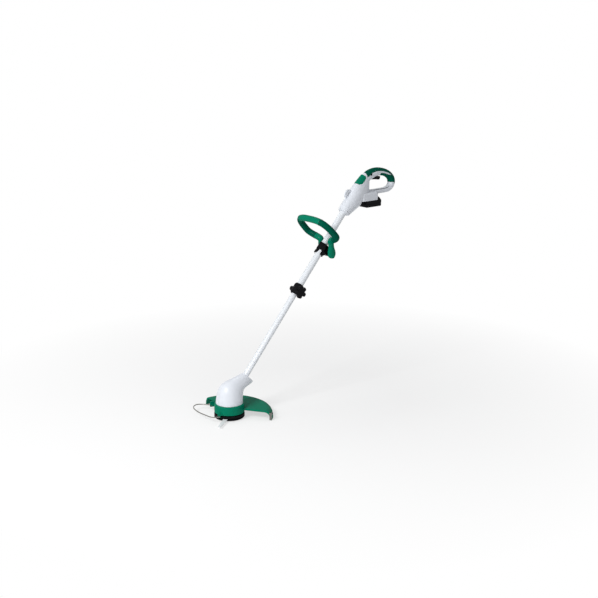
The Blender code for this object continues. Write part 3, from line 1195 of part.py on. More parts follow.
def make_battery():
    """The slide-on battery: lower case, upper case with rails, and the release button."""
    slot = empty("battery_slot", (BATTERY_FRONT, 0, BATTERY_BOTTOM))
    shift = (-BATTERY_FRONT, 0, -BATTERY_BOTTOM)
    front, rear, bottom, top = BATTERY_FRONT, BATTERY_REAR, BATTERY_BOTTOM, BATTERY_TOP
    half_gap = GAP / 2
    lower = [(front, bottom + 3 * MM), (front + 3 * MM, bottom), (rear - 3 * MM, bottom),
             (rear, bottom + 3 * MM), (rear, BATTERY_SEAM - half_gap), (front, BATTERY_SEAM - half_gap)]
    upper = [(front, BATTERY_SEAM + half_gap), (rear, BATTERY_SEAM + half_gap), (rear, top - 2 * MM),
             (HUMP_FRONT + 5 * MM, top + 12 * MM), (HUMP_FRONT + 1 * MM, top + 13 * MM),
             (HUMP_FRONT, top + 12 * MM), (HUMP_FRONT, top), (front, top)]
    lower_case = put("battery_case_lower", flat_curve("battery_case_lower", [lower],
                                                      BATTERY_HALF_WIDTH, 1.2 * MM, 1),
                     BLACK, slot, shift, SIDE_VIEW)
    upper_case = put("battery_case_upper", flat_curve("battery_case_upper", [upper],
                                                      BATTERY_HALF_WIDTH), BLACK, slot, shift,
                     SIDE_VIEW)
    neck = put("rail_neck", box("rail_neck", (RAIL_FRONT, -RAIL_NECK, top - 2 * MM),
                                (RAIL_REAR, RAIL_NECK, RAIL_TOP - 1 * MM)), None, slot, shift)
    rail = put("rail_head", box("rail_head", (RAIL_FRONT, -RAIL_HALF_WIDTH, RAIL_STEP),
                                (RAIL_REAR, RAIL_HALF_WIDTH, RAIL_TOP - RUNNING_GAP)), None, slot,
               shift)
    cut(upper_case, neck, 'UNION')
    cut(upper_case, rail, 'UNION')
    for i, side in enumerate(TERMINAL_SIDES):
        slit = put("terminal_slit_%d" % i, box("terminal_slit_%d" % i,
                                               (RAIL_FRONT - 5 * MM, side - 1.2 * MM, RAIL_STEP + 1.3 * MM),
                                               (RAIL_FRONT + 10 * MM, side + 1.2 * MM, RAIL_TOP - 1.3 * MM)),
                   None, slot, shift)
        cut(upper_case, slit)
    button_half = 11 * MM
    face = HUMP_FRONT + 2.7 * MM
    floor = top - 5 * MM
    room = put("button_room", box("button_room", (face - RUNNING_GAP, -button_half - RUNNING_GAP,
                                                  floor - 3 * MM),
                                  (rear + 20 * MM, button_half + RUNNING_GAP, top + 30 * MM)), None,
               slot, shift)
    cut(upper_case, room)
    button = [(face, floor), (rear + 0.8 * MM, floor), (rear + 0.8 * MM, top - 1.6 * MM),
              (face + 3.5 * MM, top + 12.2 * MM), (face, top + 12.2 * MM)]
    button_axis = empty("battery_button_axis", (0, 0, 0), (0, 0, 0), slot)
    put("battery_button", flat_curve("battery_button", [button], button_half), BLACK, button_axis,
        shift, SIDE_VIEW)


make_cutter()
make_guard()
make_wire_guard()
make_motor_housing()
make_motor()
make_length_clamp(make_pipes())
make_loop_clamp()
make_loop_handle()
make_rear_housing()
make_rear_parts()
make_battery()
bpy.context.view_layer.update()
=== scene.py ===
# %% [markdown]
# # A cordless brush cutter, dressed for its picture
# The tool is already there as exact solids: one piece for every part of the real machine, each on the
# body that it moves with. This lesson gives those solids their real surfaces, adds the small things that
# are too fine to be solids, and lights the whole like a catalogue picture. Everything is in metres, and
# the tool stands on the plane z = 0 with its shaft rising to the right.

import json
from math import atan, cos, degrees, radians, sin

import bpy
import numpy as np
from mathutils import Matrix, Vector
from mathutils.bvhtree import BVHTree

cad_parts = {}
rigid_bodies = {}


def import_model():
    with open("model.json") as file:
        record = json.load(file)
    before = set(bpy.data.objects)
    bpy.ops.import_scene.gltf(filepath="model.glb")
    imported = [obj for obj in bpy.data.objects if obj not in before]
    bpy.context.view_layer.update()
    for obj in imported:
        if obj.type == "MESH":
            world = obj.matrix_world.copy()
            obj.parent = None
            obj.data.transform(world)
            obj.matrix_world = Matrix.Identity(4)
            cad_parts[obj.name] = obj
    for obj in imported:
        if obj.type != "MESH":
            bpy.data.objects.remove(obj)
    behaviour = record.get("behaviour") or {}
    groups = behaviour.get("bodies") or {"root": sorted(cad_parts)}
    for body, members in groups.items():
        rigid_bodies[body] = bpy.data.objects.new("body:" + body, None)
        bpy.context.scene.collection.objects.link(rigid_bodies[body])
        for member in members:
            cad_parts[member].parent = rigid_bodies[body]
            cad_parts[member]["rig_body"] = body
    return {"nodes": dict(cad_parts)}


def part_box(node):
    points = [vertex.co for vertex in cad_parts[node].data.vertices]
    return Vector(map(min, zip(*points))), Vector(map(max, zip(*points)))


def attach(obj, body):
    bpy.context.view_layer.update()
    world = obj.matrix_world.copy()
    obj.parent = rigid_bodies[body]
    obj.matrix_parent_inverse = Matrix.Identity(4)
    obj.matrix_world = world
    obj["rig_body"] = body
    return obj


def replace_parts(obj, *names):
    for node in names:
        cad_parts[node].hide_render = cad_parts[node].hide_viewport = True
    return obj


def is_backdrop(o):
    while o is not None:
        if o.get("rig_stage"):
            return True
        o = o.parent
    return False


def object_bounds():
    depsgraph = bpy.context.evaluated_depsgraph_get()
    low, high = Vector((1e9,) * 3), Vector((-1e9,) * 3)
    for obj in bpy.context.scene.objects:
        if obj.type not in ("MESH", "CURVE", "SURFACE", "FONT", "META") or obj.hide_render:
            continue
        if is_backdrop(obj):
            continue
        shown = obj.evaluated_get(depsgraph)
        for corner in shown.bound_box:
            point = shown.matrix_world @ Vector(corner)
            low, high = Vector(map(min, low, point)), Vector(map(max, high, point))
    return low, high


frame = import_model()
cad_low, cad_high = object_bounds()
MM = 0.001
print("size in mm:", [round(v / MM, 1) for v in cad_high - cad_low])

# %% [markdown]
# ## Colours
# A picture's colours are written as the eye reads them, from 0 to 255. A shader works with light, so
# each number goes through the curve of the screen standard first. One small function does this for all.

# %% The colours of the tool
def light_of(red, green, blue):
    """Screen colour to light: below a small threshold divide by 12.92, above it a power of 2.4."""
    share = np.array([red, green, blue]) / 255
    light = np.where(share < 0.04045, share / 12.92, ((share + 0.055) / 1.055) ** 2.4)
    return (*[float(v) for v in light], 1.0)


COLOURS = {
    "casing_white": light_of(222, 226, 233),
    "casing_green": light_of(0, 119, 91),
    "grip_green": light_of(0, 80, 62),
    "casing_black": light_of(12, 12, 15),
    "pipe_coat": light_of(222, 226, 231),
    "bright_steel": light_of(176, 180, 186),
    "dull_steel": light_of(128, 126, 122),
    "blade_nylon": light_of(247, 249, 251),
    "winding_copper": light_of(196, 110, 62),
}
print(len(COLOURS), "colours")

# %% [markdown]
# ## A workbench for materials
# Every finish here is a few noise patterns that steer one shader: a fine one for the grain of the mould,
# a middle one for how evenly the surface shines, and a coarse one for dust and handling. The patterns are
# read from the object's own coordinates, in metres, so they stay put when a part moves.

# %% Helpers for materials
def new_finish(name):
    """An empty material with its shader and the object's own coordinates."""
    material = bpy.data.materials.new(name)
    material.use_nodes = True
    tree = material.node_tree
    shader = tree.nodes["Principled BSDF"]
    place = tree.nodes.new("ShaderNodeTexCoord")
    return material, tree, shader, place.outputs["Object"]


def noise(tree, place, per_metre, detail=3.0, stretch=(1, 1, 1)):
    """A cloud pattern with so many grains to the metre, stretched along the axes."""
    scale = tree.nodes.new("ShaderNodeMapping")
    scale.inputs["Scale"].default_value = stretch
    tree.links.new(place, scale.inputs["Vector"])
    cloud = tree.nodes.new("ShaderNodeTexNoise")
    cloud.inputs["Scale"].default_value = per_metre
    cloud.inputs["Detail"].default_value = detail
    tree.links.new(scale.outputs["Vector"], cloud.inputs["Vector"])
    return cloud.outputs["Fac"]


def between(tree, value, low, high, at_low=0.3, at_high=0.7):
    """Straight line through (at_low, low) and (at_high, high), held at both ends."""
    line = tree.nodes.new("ShaderNodeMapRange")
    line.inputs["From Min"].default_value = at_low
    line.inputs["From Max"].default_value = at_high
    line.inputs["To Min"].default_value = low
    line.inputs["To Max"].default_value = high
    tree.links.new(value, line.inputs["Value"])
    return line.outputs["Result"]


def tinted(tree, value, colour, other):
    """Colour where the value is 0, other where it is 1."""
    mix = tree.nodes.new("ShaderNodeMix")
    mix.data_type = "RGBA"
    mix.inputs["A"].default_value = colour
    mix.inputs["B"].default_value = other
    tree.links.new(value, mix.inputs["Factor"])
    return mix.outputs["Result"]


def soft_corners(tree, radius):
    """Normals that turn over every corner as if it were rounded with this radius."""
    corner = tree.nodes.new("ShaderNodeBevel")
    corner.samples = 4
    corner.inputs["Radius"].default_value = radius
    return corner.outputs["Normal"]


def raised(tree, height, depth, before=None):
    """Normals of a relief so many metres deep, laid over another relief."""
    bump = tree.nodes.new("ShaderNodeBump")
    bump.inputs["Strength"].default_value = 1.0
    bump.inputs["Distance"].default_value = depth
    tree.links.new(height, bump.inputs["Height"])
    if before is not None:
        tree.links.new(before, bump.inputs["Normal"])
    return bump.outputs["Normal"]


def shade(colour, factor):
    """The colour made lighter or darker."""
    return (*[min(1.0, c * factor) for c in colour[:3]], 1.0)


darker = shade(COLOURS["casing_white"], 0.9)
print("the white plastic, nine tenths as light:", [round(c, 3) for c in darker[:3]])

# %% [markdown]
# ## Moulded plastic
# The casings are moulded in coloured plastic. A mould is etched with a fine grain, so the surface is a
# little rough everywhere, slightly shinier where hands rub it and faintly dusty in broad patches. The
# dark plastics shine through a thin layer of their own, or a white room would wash their colour out. The
# coarse pattern moves the colour by only a few parts in a hundred, or the plastic would look painted.

# %% Plastics and rubber
def moulded(name, colour, rough, grain=1400, depth=0.02 * MM, dust=0.95, shine=0.4, gloss_layer=0.0):
    """Rounded corners, grain as a fine relief, patches of roughness, and faint dust in the colour."""
    material, tree, shader, place = new_finish(name)
    handling = noise(tree, place, per_metre=9, detail=5)
    dusty = between(tree, handling, low=0, high=1, at_low=0.35, at_high=0.75)
    tree.links.new(tinted(tree, dusty, colour, shade(colour, dust)), shader.inputs["Base Color"])
    patches = noise(tree, place, per_metre=45, detail=4)
    gloss = between(tree, patches, low=rough - 0.05, high=rough + 0.06)
    tree.links.new(gloss, shader.inputs["Roughness"])
    waves = noise(tree, place, per_metre=60, detail=2)
    flow = raised(tree, waves, depth=0.04 * MM, before=soft_corners(tree, radius=0.7 * MM))
    fine = raised(tree, noise(tree, place, per_metre=grain, detail=2), depth, before=flow)
    tree.links.new(fine, shader.inputs["Normal"])
    shader.inputs["Specular IOR Level"].default_value = shine
    shader.inputs["Coat Weight"].default_value = gloss_layer
    shader.inputs["Coat Roughness"].default_value = 0.22
    return material


FINISH = {
    "white_plastic": moulded("white_casing", COLOURS["casing_white"], rough=0.34),
    "green_plastic": moulded("green_casing", COLOURS["casing_green"], rough=0.35, dust=0.93, shine=0.0,
                             gloss_layer=0.12),
    "green_rubber": moulded("green_grip", COLOURS["grip_green"], rough=0.5, grain=2200, depth=0.05 * MM,
                            dust=1.12, shine=0.0, gloss_layer=0.05),
    "black_plastic": moulded("black_casing", COLOURS["casing_black"], rough=0.35, dust=1.4, shine=0.0,
                             gloss_layer=0.15),
}
print("moulded finishes:", len(FINISH))

# %% [markdown]
# ## Metal
# Rolled and drawn metal carries fine lines along the way it was pulled. The noise is stretched, so its
# grains become long threads, and the threads steer both the relief and the roughness. The powder coat of
# the pipe hides the metal: it is smooth, pale and slightly wavy, like the skin of an orange.

# %% Metals, coat and nylon
def drawn_metal(name, colour, rough, stretch):
    """Bare metal: threads of noise for relief and roughness, coarse spots of tarnish in the colour."""
    material, tree, shader, place = new_finish(name)
    threads = noise(tree, place, per_metre=900, stretch=stretch)
    tree.links.new(between(tree, threads, low=rough - 0.07, high=rough + 0.1), shader.inputs["Roughness"])
    clouds = noise(tree, place, per_metre=70, detail=5)
    spots = between(tree, clouds, low=0, high=1, at_low=0.45, at_high=0.8)
    tree.links.new(tinted(tree, spots, colour, shade(colour, 0.8)), shader.inputs["Base Color"])
    tree.links.new(raised(tree, threads, depth=0.01 * MM), shader.inputs["Normal"])
    shader.inputs["Metallic"].default_value = 1.0
    return material


def powder_coat(name, colour):
    """Paint skin: a soft wave of a few millimetres, a clear top layer, and rare fine scratches."""
    material, tree, shader, place = new_finish(name)
    lines = noise(tree, place, per_metre=420, detail=4, stretch=(1, 1, 0.08))
    scuffs = between(tree, lines, low=0, high=1, at_low=0.68, at_high=0.76)
    tree.links.new(tinted(tree, scuffs, colour, shade(colour, 0.94)), shader.inputs["Base Color"])
    rough = between(tree, scuffs, low=0.28, high=0.38, at_low=0, at_high=1)
    tree.links.new(rough, shader.inputs["Roughness"])
    waves = noise(tree, place, per_metre=420, detail=1)
    peel = raised(tree, waves, depth=0.02 * MM, before=soft_corners(tree, radius=0.4 * MM))
    tree.links.new(peel, shader.inputs["Normal"])
    shader.inputs["Coat Weight"].default_value = 0.3
    shader.inputs["Coat Roughness"].default_value = 0.12
    return material


def clear_nylon(name, colour):
    """Milky nylon: some light goes through, with fine streaks along the flow of the moulding."""
    material, tree, shader, place = new_finish(name)
    streaks = noise(tree, place, per_metre=160, detail=2, stretch=(0.15, 1, 1))
    tree.links.new(tinted(tree, streaks, colour, shade(colour, 0.96)), shader.inputs["Base Color"])
    tree.links.new(between(tree, streaks, low=0.3, high=0.4), shader.inputs["Roughness"])
    flow = raised(tree, streaks, depth=0.008 * MM, before=soft_corners(tree, radius=0.5 * MM))
    tree.links.new(flow, shader.inputs["Normal"])
    shader.inputs["Transmission Weight"].default_value = 0.1
    return material


FINISH["coated_pipe"] = powder_coat("pipe_coat", COLOURS["pipe_coat"])
FINISH["steel"] = drawn_metal("turned_steel", COLOURS["bright_steel"], rough=0.32, stretch=(1, 1, 0.1))
FINISH["cutting_nylon"] = clear_nylon("cutting_nylon_milky", COLOURS["blade_nylon"])
FINISH["bent_wire"] = drawn_metal("galvanised_wire", COLOURS["dull_steel"], rough=0.36, stretch=(1, 1, 0.3))
FINISH["motor_winding"] = drawn_metal("wound_copper", COLOURS["winding_copper"], rough=0.35,
                                      stretch=(0.1, 1, 1))
print("finishes in all:", ", ".join(FINISH))

# %% [markdown]
# ## Dress the solids
# Each solid came in with a plain material whose name says what it is made of. The plain one is changed
# for the finish of that name, slot by slot. The solids are loose triangles with one flat normal each, so
# a rounded casing would show its facets. Three modifiers mend the light without moving a point: Weld
# joins the triangles, Edge Split keeps the real corners sharp, and Weighted Normal lets the large faces
# decide how the small ones are shaded. A few plain blocks, such as the battery, also get real rounded
# edges: their flat faces are joined first, and then a Bevel takes the corners off.

# %% Put the finishes on
# Radius of the rounded edges, in millimetres
EDGES = {
    "battery_case_upper": 1.0, "battery_case_lower": 1.0, "battery_button": 0.7, "trigger": 0.8,
    "length_collar": 0.8, "loop_clamp_upper": 0.7, "loop_clamp_lower": 0.7, "strap_hanger": 0.6,
}
CORNER_ANGLE = radians(34)
FLAT_ANGLE = radians(1)
SAME_POINT = 0.002 * MM
LARGE_FACE_WEIGHT = 60


def smooth_faces(mesh):
    """Let the light run on over every face."""
    mesh.polygons.foreach_set("use_smooth", np.ones(len(mesh.polygons), bool))


def join_triangles(piece):
    """Weld points that lie on each other, so that neighbouring faces share them."""
    weld = piece.modifiers.new("join_triangles", "WELD")
    weld.merge_threshold = SAME_POINT


def keep_corners(piece):
    """Split the mesh along edges sharper than the corner angle, where the light has to break."""
    split = piece.modifiers.new("keep_corners", "EDGE_SPLIT")
    split.split_angle = CORNER_ANGLE


def shade_round(piece, edge=0.0):
    """Smooth light across edges flatter than the corner angle, after rounding the others if asked to."""
    smooth_faces(piece.data)
    if "custom_normal" in piece.data.attributes:
        piece.data.attributes.remove(piece.data.attributes["custom_normal"])
    join_triangles(piece)
    if edge:
        flat = piece.modifiers.new("join_flat_faces", "DECIMATE")
        flat.decimate_type = "DISSOLVE"
        flat.angle_limit = FLAT_ANGLE
        rounded = piece.modifiers.new("round_edges", "BEVEL")
        rounded.width = edge * MM
        rounded.segments = 2
        rounded.angle_limit = CORNER_ANGLE
    keep_corners(piece)
    even = piece.modifiers.new("even_light", "WEIGHTED_NORMAL")
    even.weight = LARGE_FACE_WEIGHT


for name, node in frame["nodes"].items():
    for material_slot in node.material_slots:
        plain = material_slot.material.name.split(".")[0]
        material_slot.material = FINISH[plain]
    shade_round(node, EDGES.get(name, 0))
print("dressed", len(frame["nodes"]), "solids,", len(EDGES), "of them with rounded edges")

# %% [markdown]
# ## A workbench for curves
# The finer pieces are surfaces of two parameters: one runs along a line and one goes round it. The line
# is a smooth curve through a few named points, as a bent tube has, and the section is an ellipse whose
# two half widths may change on the way. Everything is worked out as whole arrays, without a loop over
# the points.

# %% Curves and tubes
def unit(rows):
    """Each row divided by its own length."""
    return rows / np.linalg.norm(rows, axis=-1, keepdims=True)


def full_turn(count, shift=0.0):
    """Angles of so many even steps round a circle, the first one shifted by a share of a step."""
    return 2 * np.pi * (np.arange(count) + shift) / count


def squared_off(wave, power):
    """A sine or cosine raised to 2 / power with its sign kept: at power 2 the pair draws a circle, and
    above it the circle fills out towards a square."""
    return np.abs(wave) ** (2 / power) * np.sign(wave)


def curve_through(points, steps=12):
    """Catmull-Rom: between two points, the cubic whose slope at each is half the way between its
    neighbours."""
    points = np.asarray(points, float)
    ends = np.vstack([2 * points[0] - points[1], points, 2 * points[-1] - points[-2]])
    a, b, c, d = (ends[k:len(ends) - 3 + k, None] for k in range(4))
    t = (np.arange(steps) / steps)[None, :, None]
    cubic = 2 * b + (c - a) * t + (2 * a - 5 * b + 4 * c - d) * t**2 + (3 * b - a - 3 * c + d) * t**3
    return np.vstack([0.5 * cubic.reshape(-1, points.shape[1]), points[-1:]])


def run_of(line):
    """How far each point of the line is from its start, measured along it."""
    return np.concatenate([[0], np.cumsum(np.linalg.norm(np.diff(line, axis=0), axis=1))])


def tube(line, towards, places, wide, thick, sides=48):
    """Ellipses square to the line: centre + wide x sin(turn) x a + thick x cos(turn) x b, where a is
    the direction square to the line that leans most towards the given one, and b is square to both."""
    run = run_of(line)
    ahead = unit(np.gradient(line, run, axis=0))
    towards = np.broadcast_to(np.asarray(towards, float), line.shape)
    across = unit(towards - ahead * np.sum(ahead * towards, axis=1, keepdims=True))
    pick = [np.stack([np.interp(places, run, rows[:, k]) for k in range(3)], 1)
            for rows in (line, ahead, across)]
    centre, a = pick[0], unit(pick[2])
    b = np.cross(a, unit(pick[1]))
    turn = full_turn(sides)
    wide, thick = (np.broadcast_to(v, len(centre))[:, None, None] for v in (wide, thick))
    return (centre[:, None] + wide * np.sin(turn)[None, :, None] * a[:, None]
            + thick * np.cos(turn)[None, :, None] * b[:, None])


corner_curve = curve_through([(0, 0), (1, 0), (1, 1)])
print("a curve through three points has", len(corner_curve), "points")

# %% [markdown]
# ## From rings to a closed piece
# Rings of points one after the other become a mesh by joining each ring to the next. A piece then needs
# four more things: its finish, a place in the scene, sharp corners where its faces really meet at an
# angle, and the body of the tool that it moves with.

# %% Meshes and pieces
def closed_mesh(name, rings, ring_closed=False):
    """A closed mesh over rings of points: each ring is joined to the next by four-sided faces, and the
    two end rings are filled, or joined to each other. The sign of the volume, a sum over all faces of
    centre times area vector, says whether the faces point outwards."""
    count, sides = rings.shape[:2]
    points = rings.reshape(-1, 3)
    row = np.arange(count if ring_closed else count - 1)[:, None]
    column = np.arange(sides)[None, :]
    after, beside = (row + 1) % count, (column + 1) % sides
    faces = np.stack([row * sides + column, row * sides + beside,
                      after * sides + beside, after * sides + column], -1).reshape(-1, 4)
    p, q, r, t = (points[faces[:, k]] for k in range(4))
    volume = np.sum((p + q + r + t) / 4 * np.cross(r - p, t - q)) / 6
    faces = faces.tolist()
    if not ring_closed:
        faces += [list(range(sides))[::-1], list(range((count - 1) * sides, count * sides))]
    if volume < 0:
        faces = [face[::-1] for face in faces]
    mesh = bpy.data.meshes.new(name)
    mesh.from_pydata(points.tolist(), [], faces)
    smooth_faces(mesh)
    return mesh


def in_scene(name, data):
    """A new object that shows this mesh, lamp or camera."""
    thing = bpy.data.objects.new(name, data)
    bpy.context.scene.collection.objects.link(thing)
    return thing


def skin(name, rings, finish, body, ring_closed=False):
    """The closed mesh over the rings as a finished piece on a body."""
    mesh = closed_mesh(name, rings, ring_closed)
    mesh.materials.append(FINISH[finish])
    piece = in_scene(name, mesh)
    keep_corners(piece)
    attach(piece, body)
    print(name, "faces:", len(mesh.polygons))
    return piece


# %% [markdown]
# ## The shaft's own directions
# The shaft leans back at 49.5 degrees from the ground. Pieces on it are easiest to place by how far up
# the shaft they are, how far to its underside and how far to the right, so one helper turns such
# triples into points of the scene.

# %% Places on the shaft
SHAFT_LEAN = radians(49.5)
SHAFT_FOOT = np.array([0, 0, 58 * MM])
SHAFT_LENGTH = 884 * MM
UP_SHAFT = np.array([cos(SHAFT_LEAN), 0, sin(SHAFT_LEAN)])
UNDERSIDE = np.array([sin(SHAFT_LEAN), 0, -cos(SHAFT_LEAN)])
RIGHT = np.array([0.0, 1.0, 0.0])
NOSE = SHAFT_FOOT + SHAFT_LENGTH * UP_SHAFT


def on_shaft(under, side, up):
    """Foot of the shaft + under x underside + side x right + up x shaft, all in metres."""
    under, side, up = (np.asarray(v, float)[..., None] for v in (under, side, up))
    return SHAFT_FOOT + under * UNDERSIDE + side * RIGHT + up * UP_SHAFT


print("the nose of the rear housing is at", (NOSE / MM).round(1))

# %% [markdown]
# ## The loop handle
# On the real tool this is one moulded green tube, bent to a loop, with two flat legs that straddle the
# clamp. The line runs up the left leg, curls outwards, goes round the loop and comes down the right leg.
# The loop itself is a superellipse: a circle whose sine and cosine are raised to a power, which makes it
# squarer. Lengths are read off along the finished line, so the first step is the line alone.

# %% The line of the loop
PIVOT_UNDER = 33 * MM
PIVOT_UP = 713.5 * MM
LEG_SIDE = 31 * MM
LOOP_UP = 758 * MM
LOOP_HALF_WIDTH = 87 * MM
LOOP_WIDEST = 43 * MM
LOOP_RISE = 88 * MM
LOOP_LEAN = 0.1
LOOP_POWER = 3.1
BEFORE_PIVOT = 0.35

leg_foot = np.array([PIVOT_UNDER, -LEG_SIDE, PIVOT_UP])
leg_top = np.array([-4 * MM, -LEG_SIDE, LOOP_UP - 9 * MM])
leg_shares = np.array([-BEFORE_PIVOT, 0, 0.35, 0.7, 1])[:, None]
curl = np.array([
    [-10.5 * MM, -LEG_SIDE - 14 * MM, LOOP_UP - 5 * MM],
    [-20 * MM, -LOOP_HALF_WIDTH + 20.5 * MM, LOOP_UP - 3 * MM],
    [-31 * MM, -LOOP_HALF_WIDTH + 6 * MM, LOOP_UP - 1.5 * MM],
])
half_turn = np.linspace(0, np.pi, 16)
far = squared_off(np.cos(half_turn), LOOP_POWER)
high = np.abs(np.sin(half_turn)) ** (2 / LOOP_POWER)
bow = np.stack([-LOOP_WIDEST - LOOP_RISE * high, -LOOP_HALF_WIDTH * far,
                LOOP_UP + LOOP_LEAN * LOOP_RISE * high], 1)
left_side = np.vstack([leg_foot + (leg_top - leg_foot) * leg_shares, curl])
right_side = left_side[::-1] * [1, -1, 1]
loop_line = curve_through(on_shaft(*np.vstack([left_side, bow, right_side]).T))
loop_run = run_of(loop_line)
LOOP_LENGTH = loop_run[-1]
FOOT_AT = BEFORE_PIVOT * np.linalg.norm(leg_top - leg_foot)
print("loop tube, pivot to pivot:", round((LOOP_LENGTH - 2 * FOOT_AT) / MM), "mm")

# %% [markdown]
# ## The tube along the line
# The section changes from a flat disc round the pivot to a full circle, and gets thinner where the
# sleeves sit. Two small tables give its width and its thickness at a few distances from the pivot. Both
# legs are the same, so the numbers of one half are used again in reverse order.

# %% The loop tube
LEG_END = 19 * MM
LOOP_RADIUS = 13 * MM
LOOP_CORE = 11 * MM
SLEEVE_START = 78 * MM
SLEEVE_END = 213 * MM
STEP = 0.4 * MM
FLARE = [[0, 19], [9.5, 17.9], [20.9, 14.1], [38, 12.2], [58, 13], [70, 13]]
FLATTEN = [[0, 9.5], [20, 9.5], [38, 9.6], [58, 13], [70, 13]]
RIM_FROM = 0.45
RIM_THICK = 0.55
half_way = LOOP_LENGTH / 2 - FOOT_AT
to_bend = np.concatenate([
    -LEG_END * np.cos(np.linspace(0.06, np.pi / 2, 14)),
    np.linspace(2 * MM, SLEEVE_START - 2 * STEP, 34),
    [SLEEVE_START - STEP],
    np.linspace(SLEEVE_START + MM, SLEEVE_END - MM, 20),
    [SLEEVE_END + STEP],
    np.linspace(SLEEVE_END + 2 * STEP, half_way, 40),
])
flare = curve_through(np.array(FLARE) * MM)
flat = curve_through(np.array(FLATTEN) * MM)
wide = np.interp(to_bend, flare[:, 0], flare[:, 1])
thick = np.interp(to_bend, flat[:, 0], flat[:, 1])
round_end = np.sqrt(np.clip(1 - (np.minimum(to_bend, 0) / LEG_END) ** 2, 0, 1))
soft_rim = np.clip(round_end / RIM_FROM, 0, 1)
wide = wide * round_end
thick = thick * (RIM_THICK + (1 - RIM_THICK) * soft_rim)
under_sleeve = (to_bend > SLEEVE_START - 1.5 * STEP) & (to_bend < SLEEVE_END + 1.5 * STEP)
wide = np.where(under_sleeve, LOOP_CORE, wide)
thick = np.where(under_sleeve, LOOP_CORE, thick)


def both_ways(values):
    """The values, then the same values backwards without the middle one."""
    return np.concatenate([values, values[:-1][::-1]])


whole = np.concatenate([to_bend + FOOT_AT, (LOOP_LENGTH - FOOT_AT - to_bend[:-1])[::-1]])
loop_rings = tube(loop_line, UP_SHAFT, whole, both_ways(wide), both_ways(thick))
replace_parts(skin("loop_tube_skin", loop_rings, "green_plastic", "loop_handle"), "loop_tube")

# %% [markdown]
# ## The rubber sleeves
# Two darker sleeves are pushed over the sides of the loop, where the hand takes hold. Each is a thin
# tube with a round bead at both ends. Its surface goes along the outside, turns over the lip and comes
# back through the bore, so the rings close on themselves and no edge is left open.

# %% Sleeves
# In millimetres: how far from the sleeve's end, and how far the bead stands out there
LIP = [[0, 0], [0.4, 0.5], [1.2, 0.75], [3.2, 0.75], [4.2, 0.3], [5.2, 0]]
BEAD_ROOM = 7 * MM
BORE_RADIUS = LOOP_CORE + 0.8 * MM
lip = np.array(LIP) * MM
plain_part = np.linspace(SLEEVE_START + BEAD_ROOM, SLEEVE_END - BEAD_ROOM, 46)
outside = np.concatenate([SLEEVE_START + lip[:, 0], plain_part, SLEEVE_END - lip[::-1, 0]])
swell = np.concatenate([lip[:, 1], np.zeros(len(plain_part)), lip[::-1, 1]])
back_through = np.linspace(SLEEVE_END, SLEEVE_START, 30)
sleeve_at = np.concatenate([outside, back_through])
sleeve_radius = np.concatenate([LOOP_RADIUS + swell, np.full(len(back_through), BORE_RADIUS)])
for side, places in (("left", sleeve_at + FOOT_AT), ("right", LOOP_LENGTH - FOOT_AT - sleeve_at)):
    rings = tube(loop_line, UP_SHAFT, places, sleeve_radius, sleeve_radius)
    sleeve = skin("loop_sleeve_skin_" + side, rings, "green_rubber", "loop_handle", True)
    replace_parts(sleeve, "loop_sleeve_" + side)

# %% [markdown]
# ## The wire guard
# A hoop of round steel wire swings on two pins in lugs of the guard. It is bent from one piece: a short
# pin, a tight bend, the long bow and the same again. Its line is drawn in shares of the distance
# between the pins: how far from the near pin to the far one, and how far outwards. The tube function
# makes it, with a small circle for its section.

# %% Wire hoop
WIRE_RADIUS = 2 * MM
WIRE_HIGH = 22 * MM
wire_near = np.array([-63 * MM, -20 * MM, WIRE_HIGH])
wire_far = np.array([-16 * MM, 99 * MM, WIRE_HIGH])
chord = wire_far - wire_near
span = np.linalg.norm(chord)
outward = np.array([-chord[1], chord[0], 0]) / span
bow_shares = np.array([
    [-0.055, 0.085], [-0.03, 0.19], [0.06, 0.28], [0.2, 0.35], [0.36, 0.43], [0.53, 0.495],
    [0.74, 0.55], [0.95, 0.56], [1.12, 0.5], [1.2, 0.38], [1.16, 0.23], [1.085, 0.1],
])
pin = 7.2 * MM / span
bend = 1.5 * MM / span
lug = 4 * MM / span
shares = np.vstack([[[lug, 0], [-pin + bend, 0], [-pin, bend]], bow_shares,
                    [[1 + pin, bend], [1 + pin - bend, 0], [1 - lug, 0]]])
wire_line = curve_through(wire_near + shares[:, :1] * chord + shares[:, 1:] * span * outward, 10)
wire_places = run_of(wire_line)
wire_rings = tube(wire_line, (0, 0, 1), wire_places, WIRE_RADIUS, WIRE_RADIUS, 20)
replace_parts(skin("wire_hoop", wire_rings, "bent_wire", "wire_guard"), "wire_guard")

# %% [markdown]
# ## The clamp knob
# The knob has five soft lobes for the fingers and a shallow dish in its face. Going round, its reach
# swells and shrinks five times. Going across, from the back over the rounded rim into the dish, each row
# lies a little further in. All rows together are one grid.

# %% Knob
KNOB_UP = 511 * MM
KNOB_REACH = 25 * MM
KNOB_LOBES = 5
LOBE_DEPTH = 9 * MM
LOBE_POWER = 2.2
KNOB_BACK = 21.3 * MM
KNOB_FACE = 35.3 * MM
RIM_ROUND = 2.4 * MM
BACK_RADII = (3.4, 12)
